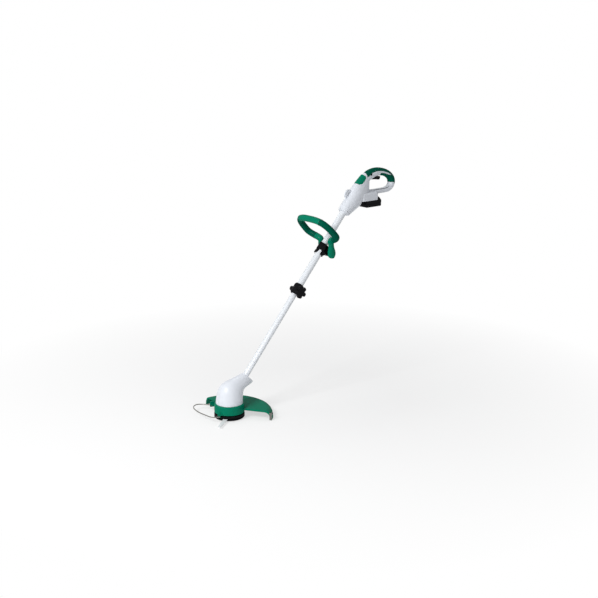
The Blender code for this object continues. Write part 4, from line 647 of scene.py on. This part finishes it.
# In millimetres: how far from the axis, and how far behind the face
DISH = [(13, 0), (12.4, 0.25), (11.8, 1.0), (11, 1.3), (4, 1.5), (3.4, 1.2), (2.6, 1.0), (0.5, 1.0)]
around = full_turn(150)
circle = np.ones(len(around))
lobes = KNOB_REACH - LOBE_DEPTH * (0.5 - 0.5 * np.cos(KNOB_LOBES * around)) ** LOBE_POWER
quarter = np.linspace(0, np.pi / 2, 7)
away_sine = RIM_ROUND * (1 - np.sin(quarter))
away_cosine = RIM_ROUND * (1 - np.cos(quarter))
edge_in = np.concatenate([away_sine, away_cosine])
edge_at = np.concatenate([KNOB_BACK + away_cosine, KNOB_FACE - away_sine])
back_radius = np.array(BACK_RADII) * MM
dish_radius, dish_depth = np.array(DISH).T * MM
reach = np.vstack([back_radius[:, None] * circle, lobes - edge_in[:, None], dish_radius[:, None] * circle])
out = np.concatenate([np.full(len(back_radius), KNOB_BACK), edge_at, KNOB_FACE - dish_depth])
out = out[:, None] * circle
knob_rings = on_shaft(reach * np.cos(around), -out, KNOB_UP + reach * np.sin(around))
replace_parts(skin("knob_skin", knob_rings, "black_plastic", "length_knob"), "length_knob")

# %% [markdown]
# ## Painted shade in the cross of a screw head
# A few things are too fine to be solids. The first is the shade in the cross recess of each head of the
# casings' screws. It is painted as a dark thin cross that lies a few hundredths of a millimetre proud of
# the head.

# %% Painted shade of the cross recesses
CROSS_LENGTH = 1.9 * MM
CROSS_WIDTH = 0.45 * MM
# The cross's size at each row, as a share, and how far the row stands out from the head, in millimetres
CROSS_ROWS = [(1.0, -0.05), (1.0, 0.03), (0.9, 0.05), (0.2, 0.05)]


def painted_recess_shade(node):
    """A cross seen from the right: in each direction the longer of two bars' reach, where a bar of half
    width w and half length l reaches the lesser of l / |cosine| and w / |sine|."""
    low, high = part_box(node)
    turn = full_turn(64, shift=0.5)
    c, s = np.abs(np.cos(turn)), np.abs(np.sin(turn))
    level_bar = np.minimum(CROSS_LENGTH / c, CROSS_WIDTH / s)
    upright_bar = np.minimum(CROSS_LENGTH / s, CROSS_WIDTH / c)
    reach = np.maximum(level_bar, upright_bar)
    share, proud = np.array(CROSS_ROWS).T
    x = (low.x + high.x) / 2 + share[:, None] * reach * np.cos(turn)
    z = (low.z + high.z) / 2 + share[:, None] * reach * np.sin(turn)
    y = high.y + proud[:, None] * MM + 0 * x
    body = frame["nodes"][node]["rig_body"]
    # The black cross is painted shade where the recess would lie in shadow; the head itself is not cut
    return skin(node + "_recess_shade", np.stack([x, y, z], -1), "black_plastic", body)


for number in (1, 2, 3, 4):
    painted_recess_shade("rear_housing_screw_%d" % number)
for number in (1, 2, 3):
    painted_recess_shade("motor_housing_screw_%d" % number)

# %% [markdown]
# ## The D handle
# The rear handle is one bent bar, white below and wrapped in green rubber above. Its solid is made of
# straight stretches, which show as corners in the outline, so a smooth skin lies a fraction of a
# millimetre over it. Through each station of the bar goes a superellipse, and the stations are joined by
# curves.

# %% Stations of the D handle
# In millimetres from the nose: outer point, inner point, half width
BAR = np.array([
    [97.9, 140.8, 115.9, 91.8, 15.5], [125.9, 156.3, 136.9, 115.3, 15.5],
    [147.9, 162.8, 147.9, 120.8, 15.5], [173.9, 165.3, 171.9, 129.8, 15.5],
    [197.9, 163, 193.9, 131.3, 15.5], [222.9, 156.8, 213.9, 128.3, 15.5],
    [245.9, 146.1, 228.9, 122.3, 15.5], [263.9, 131.3, 239.9, 114.8, 15.5],
    [273.9, 115.3, 245.9, 107.8, 15.5], [276.4, 98.8, 247.9, 98.8, 15.5],
    [272.4, 83.3, 245.4, 90.3, 15], [262.4, 70.3, 237.9, 84.3, 14.5],
    [245.9, 61.3, 227.4, 80.8, 14], [225.9, 58.6, 213.9, 79.3, 13.5],
    [200.9, 58.2, 195.9, 78.8, 13.5], [170.9, 57.8, 170.9, 78.3, 13.5],
    [137.9, 56.8, 139.9, 77.8, 14], [115.9, 55.8, 115.9, 75.8, 14],
]) * MM
BAR_POWER = 2.25
BAR_OVER = 0.2 * MM
SIDE_OVER = 0.42 * MM
outer_point = BAR[:, [0, 0, 1]] * [1, 0, 1]
inner_point = BAR[:, [2, 2, 3]] * [1, 0, 1]
stations = np.hstack([(outer_point + inner_point) / 2, (outer_point - inner_point) / 2, BAR[:, 4:]])
smooth_bar = curve_through(stations, 8)
bar_middle, bar_half, bar_side = smooth_bar[:, :3], smooth_bar[:, 3:6], smooth_bar[:, 6:]
bar_half = bar_half + BAR_OVER * unit(bar_half)
round_bar = full_turn(56, shift=0.5)
bar_c = squared_off(np.cos(round_bar), BAR_POWER)
bar_s = squared_off(np.sin(round_bar), BAR_POWER)
bar_rings = (NOSE + bar_middle[:, None] + bar_c[:, None] * bar_half[:, None]
             + bar_s[:, None] * (bar_side + SIDE_OVER)[:, None] * RIGHT)
bar_rings = np.clip(bar_rings, np.array(cad_low), np.array(cad_high))
print("rings along the bar:", len(bar_rings))

# %% [markdown]
# ## Shapes to cut with
# Each cutting shape is an outline pushed straight through the handle from the side. The large one has
# the rubber's outline and parts green from white. The others make room for the switch, the lock-off
# button and a screw, and open the seam between the two halves of the casing.

# %% Cutting shapes for the handle
# The rubber's lower edge, in millimetres from the nose: over the white stripe, back under it, then down
OVER_STRIPE = [(115.9, 131.3), (127.9, 136.8), (144.9, 146.8), (160.9, 150.8), (176.9, 151.8),
               (195.9, 150.3), (215.9, 145.3), (233.9, 138.3), (248.9, 129.3)]
UNDER_STRIPE = [(248.9, 129.3), (231.9, 133.3), (215.9, 138.8), (197.9, 142.8), (188.9, 142.8)]
LOWER_END = [(186.9, 119.8), (210.9, 104.8), (237.9, 99.8), (261.9, 98.8), (271.9, 89.8), (300.9, 84.8)]
BEYOND = [(305.9, 149.8), (225.9, 184.8), (106.9, 184.8)]
SWITCH_ROOM = [(131.3, 100), (196.3, 100), (196.3, 155.7), (147.5, 155.7), (147.5, 138.4), (131.3, 138.4)]
SEAM_FIELD = [(100, 40), (300, 40), (300, 190), (100, 190)]
LOCK_AT = (137.4, 140.8)
LOCK_BORE = 4.4
SCREW_AT = (231.9, 70.8)
SCREW_BORE = 3.8
# How far each shape reaches to the sides
THROUGH = 60 * MM
ROOM_HALF = 8.4 * MM
SCREW_FROM = 5 * MM
SEAM_HALF = 0.15 * MM


def prism(name, rows):
    """A cutting shape whose two ends are the same outline, moved along one direction."""
    return in_scene(name, closed_mesh(name, np.array(rows)))


def pushed_through(name, outline, low, high):
    """The outline, in millimetres from the nose, stands at y = low and again at y = high."""
    outline = np.asarray(outline, float) * MM
    return prism(name, [NOSE + np.stack([outline[:, 0], np.full(len(outline), y), outline[:, 1]], 1)
                        for y in (low, high)])


def disc(centre, radius):
    """Thirty-two points on a circle round the centre, all in millimetres."""
    turn = full_turn(32)
    return np.array(centre) + radius * np.stack([np.cos(turn), np.sin(turn)], 1)


rubber_edge = np.vstack([curve_through(OVER_STRIPE, 6)[:-1], curve_through(UNDER_STRIPE, 6),
                         curve_through(LOWER_END, 6), BEYOND])
rubber_region = pushed_through("rubber_region", rubber_edge, -THROUGH, THROUGH)
switch_room = pushed_through("switch_room", SWITCH_ROOM, -ROOM_HALF, ROOM_HALF)
lock_room = pushed_through("lock_room", disc(LOCK_AT, LOCK_BORE), -THROUGH, THROUGH)
screw_room = pushed_through("screw_room", disc(SCREW_AT, SCREW_BORE), SCREW_FROM, THROUGH)
seam = pushed_through("seam", SEAM_FIELD, -SEAM_HALF, SEAM_HALF)
cutting_shapes = (rubber_region, switch_room, lock_room, screw_room, seam)
print("cutting shapes:", ", ".join(tool.name for tool in cutting_shapes))

# %% [markdown]
# ## One bar in two colours
# The same rings make the bar twice. The green skin keeps what lies inside the rubber's outline, the
# white one what lies outside it. The result of the Booleans is written into the mesh, so the cutting
# shapes can go.

# %% Carve the two skins
def carved(name, mesh, finish, steps, edge=0.0):
    """The mesh after exact Booleans with each cutting shape in turn, as a piece of the rear unit."""
    piece = in_scene(name, mesh)
    join_triangles(piece)
    for tool, operation in steps:
        step = piece.modifiers.new(tool.name, "BOOLEAN")
        step.operation = operation
        step.object = tool
    evaluated = piece.evaluated_get(bpy.context.evaluated_depsgraph_get())
    result = bpy.data.meshes.new_from_object(evaluated)
    piece.modifiers.clear()
    piece.data = result
    result.materials.clear()
    result.materials.append(FINISH[finish])
    shade_round(piece, edge)
    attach(piece, "handle_unit")
    print(name, "faces:", len(result.polygons))
    return piece


hollows = [(switch_room, "DIFFERENCE"), (lock_room, "DIFFERENCE")]
green_steps = [(rubber_region, "INTERSECT")] + hollows
white_steps = [(rubber_region, "DIFFERENCE"), (screw_room, "DIFFERENCE"), (seam, "DIFFERENCE")] + hollows
carved("grip_skin", closed_mesh("grip_skin", bar_rings), "green_rubber", green_steps)
bar_skin = carved("bar_skin", closed_mesh("bar_skin", bar_rings), "white_plastic", white_steps)
for tool in cutting_shapes:
    bpy.data.objects.remove(tool)

# %% [markdown]
# ## The saddle's tongue
# A closer look at the picture shows that the upper saddle of the loop's clamp is shorter than the lower
# one: its edge lies 17 mm further up, but for a pointed tongue on the ridge. A copy of the saddle's own
# mesh is cut with an outline drawn from above, and stands for the solid.

# %% Cut the upper saddle
# In millimetres: how far to the right, and how far up the shaft
BESIDE_TONGUE = [(-30, 678), (-30, 701.5), (-7.4, 701.5), (-6.3, 698.5), (-5.2, 695), (-4.2, 691),
                 (-3.2, 687.5), (-1.6, 685.4)]
EAR_TOP = -4.6 * MM
BEYOND_RIDGE = -40 * MM
other_side = np.array(BESIDE_TONGUE[::-1]) * [-1, 1]
cut_side, cut_up = np.vstack([BESIDE_TONGUE, other_side]).T * MM
over_tongue = prism("over_tongue", [on_shaft(np.full(len(cut_up), under), cut_side, cut_up)
                                    for under in (BEYOND_RIDGE, EAR_TOP)])
saddle_mesh = frame["nodes"]["loop_clamp_upper"].data.copy()
saddle = carved("saddle_with_tongue", saddle_mesh, "black_plastic", [(over_tongue, "DIFFERENCE")],
                EDGES["loop_clamp_upper"])
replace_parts(saddle, "loop_clamp_upper")
bpy.data.objects.remove(over_tongue)

# %% [markdown]
# ## Painted shade of a groove
# A dark strip of painted shade runs along each side of the lower bar, where a groove lies in shadow. Each
# point of a guide goes to the nearest place on the mesh and is lifted a few hundredths of a millimetre, and
# a very flat tube follows these points. It is widest in the middle: its width falls off with the eighth
# power of the distance from there.

# %% Painted groove shade along the lower bar
def on_surface(mesh, points, over):
    """Each point moved to the nearest place on the mesh and lifted along the normal there."""
    tree = BVHTree.FromPolygons([v.co for v in mesh.vertices], [p.vertices for p in mesh.polygons])
    hits = [tree.find_nearest(Vector(point)) for point in points]
    normals = np.array([hit[1] for hit in hits])
    return np.array([hit[0] for hit in hits]) + over * normals, normals


GROOVE_TURN = radians(134)
# The groove follows the smooth bar's points from the first of these numbers up to the second
GROOVE_FROM = 86
GROOVE_TO = 126
GROOVE_PROUD = 0.05 * MM
GROOVE_HALF_DEPTH = 0.25 * MM
GROOVE_HALF_WIDTH = 1.1 * MM
LEAST_WIDTH = 0.02
groove_out = np.abs(cos(GROOVE_TURN)) ** (2 / BAR_POWER)
groove_side = sin(GROOVE_TURN) ** (2 / BAR_POWER)
for side, sign in (("left", -1), ("right", 1)):
    guide = NOSE + bar_middle - groove_out * bar_half + sign * groove_side * bar_side * RIGHT
    groove_line, outwards = on_surface(bar_skin.data, guide[GROOVE_FROM:GROOVE_TO], GROOVE_PROUD)
    groove_run = run_of(groove_line)
    places = np.linspace(0, groove_run[-1], 120)
    from_middle = np.abs(2 * places / groove_run[-1] - 1)
    taper = np.sqrt(np.clip(1 - from_middle ** 8, LEAST_WIDTH, 1))
    rings = tube(groove_line, outwards, places, GROOVE_HALF_DEPTH * taper, GROOVE_HALF_WIDTH * taper, 16)
    # The strip is black plastic lying on the white bar: painted shade of a groove, not a cut
    skin("bar_groove_shade_" + side, rings, "black_plastic", "handle_unit")

# %% [markdown]
# ## Painted slot shade and bosses
# The last small marks are shaped like flat pebbles: a dark one of painted shade for the slot of a clip in
# the nose of the rear unit, and three low bosses on the guard's ring. A pebble is a ball whose sines and
# cosines are raised to a power.

# %% Painted clip slot shade and bosses
def pebble(name, centre, axes, halves, finish, body, power=3.0):
    """A superellipsoid: each of its three coordinates is a product of sines and cosines of two angles,
    raised to 2 / power, times the half width along that axis, in millimetres."""
    near_tip = 0.03
    tip = np.linspace(near_tip, np.pi - near_tip, 18)[:, None]
    around = full_turn(28)[None]
    parts = (squared_off(np.sin(tip), power) * squared_off(np.cos(around), power),
             squared_off(np.sin(tip), power) * squared_off(np.sin(around), power),
             squared_off(np.cos(tip), power) * np.ones_like(around))
    rings = centre + sum(half * MM * part[..., None] * np.asarray(axis)
                         for half, part, axis in zip(halves, parts, axes))
    return skin(name, rings, finish, body)


SLOT_PROUD = 0.1 * MM
SLOT_HALVES = (3.2, 0.3, 1.1)
slot_guide = [on_shaft(-3 * MM, -24 * MM, SHAFT_LENGTH + 6 * MM)]
slot_spots, slot_out = on_surface(frame["nodes"]["rear_housing_left"].data, slot_guide, SLOT_PROUD)
slot_axes = (UP_SHAFT, slot_out[0], np.cross(UP_SHAFT, slot_out[0]))
# The dark pebble is painted shade standing for the inside of the slot; the casing is not cut
pebble("nose_clip_slot_shade", slot_spots[0], slot_axes, SLOT_HALVES, "black_plastic", "handle_unit")

RING_OUT = 58 * MM
BOSS_HALVES = (3.2, 0.7, 2.2)
BOSS_POWER = 2.4
# Where each boss stands: its direction from the spindle in degrees, and its height in millimetres
BOSSES = [(-161.4, 41.4), (-117.5, 44), (-108.3, 43.3)]
for number, (heading, height) in enumerate(BOSSES, 1):
    out_of_ring = np.array([cos(radians(heading)), sin(radians(heading)), 0])
    along_ring = np.array([-out_of_ring[1], out_of_ring[0], 0])
    boss_at = RING_OUT * out_of_ring + np.array([0, 0, height * MM])
    boss_axes = (along_ring, out_of_ring, (0, 0, 1))
    pebble("ring_boss_%d" % number, boss_at, boss_axes, BOSS_HALVES, "green_plastic", "lower_unit",
           BOSS_POWER)

# %% [markdown]
# ## The steel tongue at the guard's end
# The near end of the guard carries a small steel tongue: one leg stands on the end of the rim, bent
# round the corner, and the other lies on the outside, held by a dark screw. It is a flat strip that
# follows a bent line in the plan view. Its top is level, and its lower edge climbs where the leg turns,
# slowly at first and at the end: with a share of the way s, by s x s x (3 - 2 x s).

# %% Steel tongue
RIM_REACH = 167.5 * MM
RIM_END = radians(-54)
TONGUE_HALF = 0.6 * MM
TONGUE_GAP = 0.1 * MM
TONGUE_LOW = 1.2 * MM
TONGUE_HIGH = 30 * MM
LYING_DEPTH = 10 * MM
SOFT_EDGE = 0.3 * MM
CLIMB_FROM = 8.2 * MM
CLIMB_LENGTH = 2.5 * MM
end_out = np.array([cos(RIM_END), sin(RIM_END)])
end_away = np.array([sin(RIM_END), -cos(RIM_END)])
leg_back = np.array([7, 4, 1])[:, None] * MM
leg_plan = end_out * (RIM_REACH - leg_back) + end_away * (TONGUE_HALF + TONGUE_GAP)
arc = RIM_END + np.radians(np.linspace(0.7, 6.4, 9))[:, None]
outside_plan = (RIM_REACH + TONGUE_HALF + TONGUE_GAP) * np.hstack([np.cos(arc), np.sin(arc)])
plan = curve_through(np.vstack([leg_plan, outside_plan]), 4)
tongue_run = run_of(plan)
climb = np.clip((tongue_run - CLIMB_FROM) / CLIMB_LENGTH, 0, 1)
low_edge = TONGUE_LOW + (TONGUE_HIGH - LYING_DEPTH - TONGUE_LOW) * climb**2 * (3 - 2 * climb)
top_edge = np.full(len(plan), TONGUE_HIGH)
plan_ahead = unit(np.gradient(plan, tongue_run, axis=0))
plan_side = np.stack([-plan_ahead[:, 1], plan_ahead[:, 0]], 1)
across = np.array([-1, -1, -0.5, 0.5, 1, 1, 0.5, -0.5]) * TONGUE_HALF
tongue_rings = np.empty((len(plan), len(across), 3))
tongue_rings[..., :2] = plan[:, None] + across[None, :, None] * plan_side[:, None]
tongue_rings[..., 2] = np.stack([
    low_edge + SOFT_EDGE, top_edge - SOFT_EDGE, top_edge, top_edge,
    top_edge - SOFT_EDGE, low_edge + SOFT_EDGE, low_edge, low_edge,
], 1)
skin("guard_tongue", tongue_rings, "bent_wire", "lower_unit")

# %% [markdown]
# ## The tongue's screw
# A pan head is a turned part: its profile, a line of pairs, goes once round the screw's own axis, which
# points straight out of the rim.

# %% Screw of the tongue
SCREW_TURN = RIM_END + radians(4.2)
SCREW_HIGH = np.array([0, 0, 25 * MM])
UPWARDS = np.array([0, 0, 1.0])
# In millimetres: how far from the screw's axis, and how far out from the rim
HEAD = np.array([
    [0.4, 1.0], [3.6, 1.0], [3.9, 1.3], [3.9, 2.2], [3.4, 3.0], [2.2, 3.4], [1.2, 3.4], [1.0, 2.6],
    [0.2, 2.6],
]) * MM
head_radius, head_out = HEAD[:, None, :1], HEAD[:, None, 1:]
screw_out = np.array([cos(SCREW_TURN), sin(SCREW_TURN), 0])
screw_side = np.array([-screw_out[1], screw_out[0], 0])
head_turn = full_turn(40)[:, None]
head_circle = np.cos(head_turn) * screw_side + np.sin(head_turn) * UPWARDS
head_rings = SCREW_HIGH + (RIM_REACH + head_out) * screw_out + head_radius * head_circle
skin("guard_tongue_screw", head_rings, "black_plastic", "lower_unit")

# %% [markdown]
# ## Floor and background
# The floor takes a faint shadow under the tool and turns to plain white further out, so that no edge of
# it shows against the white background. The same switch serves both: what the camera sees directly, in a
# mirror or through glass is plain white, while the light that falls on the tool is a softer, cooler one.

# %% Floor and world
FLOOR_HALF = 8.0
FLOOR_MIDDLE = (0.35, 0, 0)
FLOOR_PALE = (0.93, 0.93, 0.93, 1)
# Share of plain white on the floor, and the distances from its middle in metres where each one holds
WHITE_NEAR, WHITE_FAR = 0.6, 1
NEAR, FAR = 0.4, 1.5
AIR_COLOUR = (0.97, 0.98, 1.0, 1)
AIR_STRENGTH = 0.3

corners = np.array([[-1, -1, 0], [1, -1, 0], [1, 1, 0], [-1, 1, 0]]) * FLOOR_HALF
floor_mesh = bpy.data.meshes.new("studio_floor")
floor_mesh.from_pydata(corners.tolist(), [], [(0, 1, 2, 3)])
floor = in_scene("studio_floor", floor_mesh)
floor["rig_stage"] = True


def seen_directly(tree):
    """1 for rays from the camera, from a mirror or through glass, and 0 for the light that bounces."""
    path = tree.nodes.new("ShaderNodeLightPath")
    total = path.outputs["Is Camera Ray"]
    for kind in ("Is Glossy Ray", "Is Transmission Ray"):
        higher = tree.nodes.new("ShaderNodeMath")
        higher.operation = "MAXIMUM"
        tree.links.new(total, higher.inputs[0])
        tree.links.new(path.outputs[kind], higher.inputs[1])
        total = higher.outputs["Value"]
    return total


def floor_finish():
    """Matt pale floor near the tool that fades to plain white light with the distance from its middle."""
    material, tree, shader, place = new_finish("floor_white")
    shader.inputs["Base Color"].default_value = FLOOR_PALE
    shader.inputs["Roughness"].default_value = 0.9
    shader.inputs["Specular IOR Level"].default_value = 0.0
    centre = tree.nodes.new("ShaderNodeVectorMath")
    centre.operation = "DISTANCE"
    centre.inputs[1].default_value = FLOOR_MIDDLE
    tree.links.new(place, centre.inputs[0])
    fade = between(tree, centre.outputs["Value"], WHITE_NEAR, WHITE_FAR, NEAR, FAR)
    times = tree.nodes.new("ShaderNodeMath")
    times.operation = "MULTIPLY"
    tree.links.new(fade, times.inputs[0])
    tree.links.new(seen_directly(tree), times.inputs[1])
    white = tree.nodes.new("ShaderNodeEmission")
    mix = tree.nodes.new("ShaderNodeMixShader")
    tree.links.new(times.outputs["Value"], mix.inputs[0])
    tree.links.new(shader.outputs[0], mix.inputs[1])
    tree.links.new(white.outputs[0], mix.inputs[2])
    tree.links.new(mix.outputs[0], tree.nodes["Material Output"].inputs["Surface"])
    return material


floor_mesh.materials.append(floor_finish())

world = bpy.data.worlds.new("studio_air")
bpy.context.scene.world = world
world.use_nodes = True
air = world.node_tree
soft = air.nodes["Background"]
soft.inputs["Color"].default_value = AIR_COLOUR
soft.inputs["Strength"].default_value = AIR_STRENGTH
plain_white = air.nodes.new("ShaderNodeBackground")
plain_white.inputs["Color"].default_value = (1, 1, 1, 1)
choose = air.nodes.new("ShaderNodeMixShader")
air.links.new(seen_directly(air), choose.inputs[0])
air.links.new(soft.outputs[0], choose.inputs[1])
air.links.new(plain_white.outputs[0], choose.inputs[2])
air.links.new(choose.outputs[0], air.nodes["World Output"].inputs["Surface"])
print("floor", 2 * FLOOR_HALF, "m wide, air at", AIR_STRENGTH, "of white")

# %% [markdown]
# ## Lamps
# A catalogue picture has even light from all round, one broad lamp on the left for the soft highlight
# along each part, a weak fill from the front and another from above. A lamp's light thins out with the
# square of the distance, so each one is given by the share of white that it has to reach at the tool.

# %% Lamps
MIDDLE = Vector((0.42, 0.0, 0.42))


def lamp(name, place, share, width, height):
    """A flat lamp that lights a surface facing it at the middle of the tool with this share of white:
    its power in watts is the share times pi squared times the distance squared."""
    data = bpy.data.lights.new(name, "AREA")
    data.shape = "RECTANGLE"
    data.size = width
    data.size_y = height
    away = Vector(place) - MIDDLE
    data.energy = share * np.pi**2 * away.length_squared
    lamp_object = in_scene(name, data)
    lamp_object.location = place
    lamp_object.rotation_euler = away.to_track_quat("Z", "Y").to_euler()
    lamp_object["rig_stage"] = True
    print(name, "at", round(away.length, 2), "m:", round(data.energy, 1), "W")


lamp("key_lamp", (-2.3, -0.5, 2.2), share=0.72, width=1.2, height=1.0)
lamp("fill_lamp", (-0.6, -3.2, 1.2), share=0.08, width=1.2, height=1.2)
lamp("top_lamp", (0.6, 0.9, 2.9), share=0.12, width=2.2, height=0.7)

# %% [markdown]
# ## Camera
# The photograph shows the tool from its left and a little above, with no roll. The camera stands so far
# away in a direction given by a turn, looks a little past the middle, and is pitched down. Its three own
# axes, right, up and back, are the columns of the matrix that places it.

# %% Camera
CAMERA_TURN = radians(35.5557)
CAMERA_AIM = CAMERA_TURN + radians(3.7485)
CAMERA_PITCH = radians(14.9113)
CAMERA_AWAY = 4.0964
CAMERA_HIGH = 1.5578
CAMERA_LENS = 67.93
FILM_WIDTH = 36
back = Vector((
    -sin(CAMERA_AIM) * cos(CAMERA_PITCH),
    -cos(CAMERA_AIM) * cos(CAMERA_PITCH),
    sin(CAMERA_PITCH),
))
right = Vector((cos(CAMERA_AIM), -sin(CAMERA_AIM), 0))
up = back.cross(right)
camera_data = bpy.data.cameras.new("catalogue_camera")
camera_data.sensor_width = FILM_WIDTH
camera_data.lens = CAMERA_LENS
camera = in_scene("catalogue_camera", camera_data)
turned = Matrix((right, up, back)).transposed().to_4x4()
turned.translation = (
    -CAMERA_AWAY * sin(CAMERA_TURN),
    -CAMERA_AWAY * cos(CAMERA_TURN),
    CAMERA_HIGH,
)
camera.matrix_world = turned
bpy.context.scene.camera = camera
bpy.context.scene.view_settings.view_transform = "Standard"
print("field of view:", round(degrees(2 * atan(FILM_WIDTH / 2 / CAMERA_LENS)), 2), "degrees")

# %% [markdown]
# ## Measure and close
# The box round the dressed tool is measured once more and kept beside the box of the bare solids: every
# added piece stays inside it.

# %% Measure and finish
new_low, new_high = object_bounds()
grown = zip(cad_low - new_low, new_high - cad_high)
print("grew by mm:", [round(max(at_low, at_high) / MM, 3) for at_low, at_high in grown])
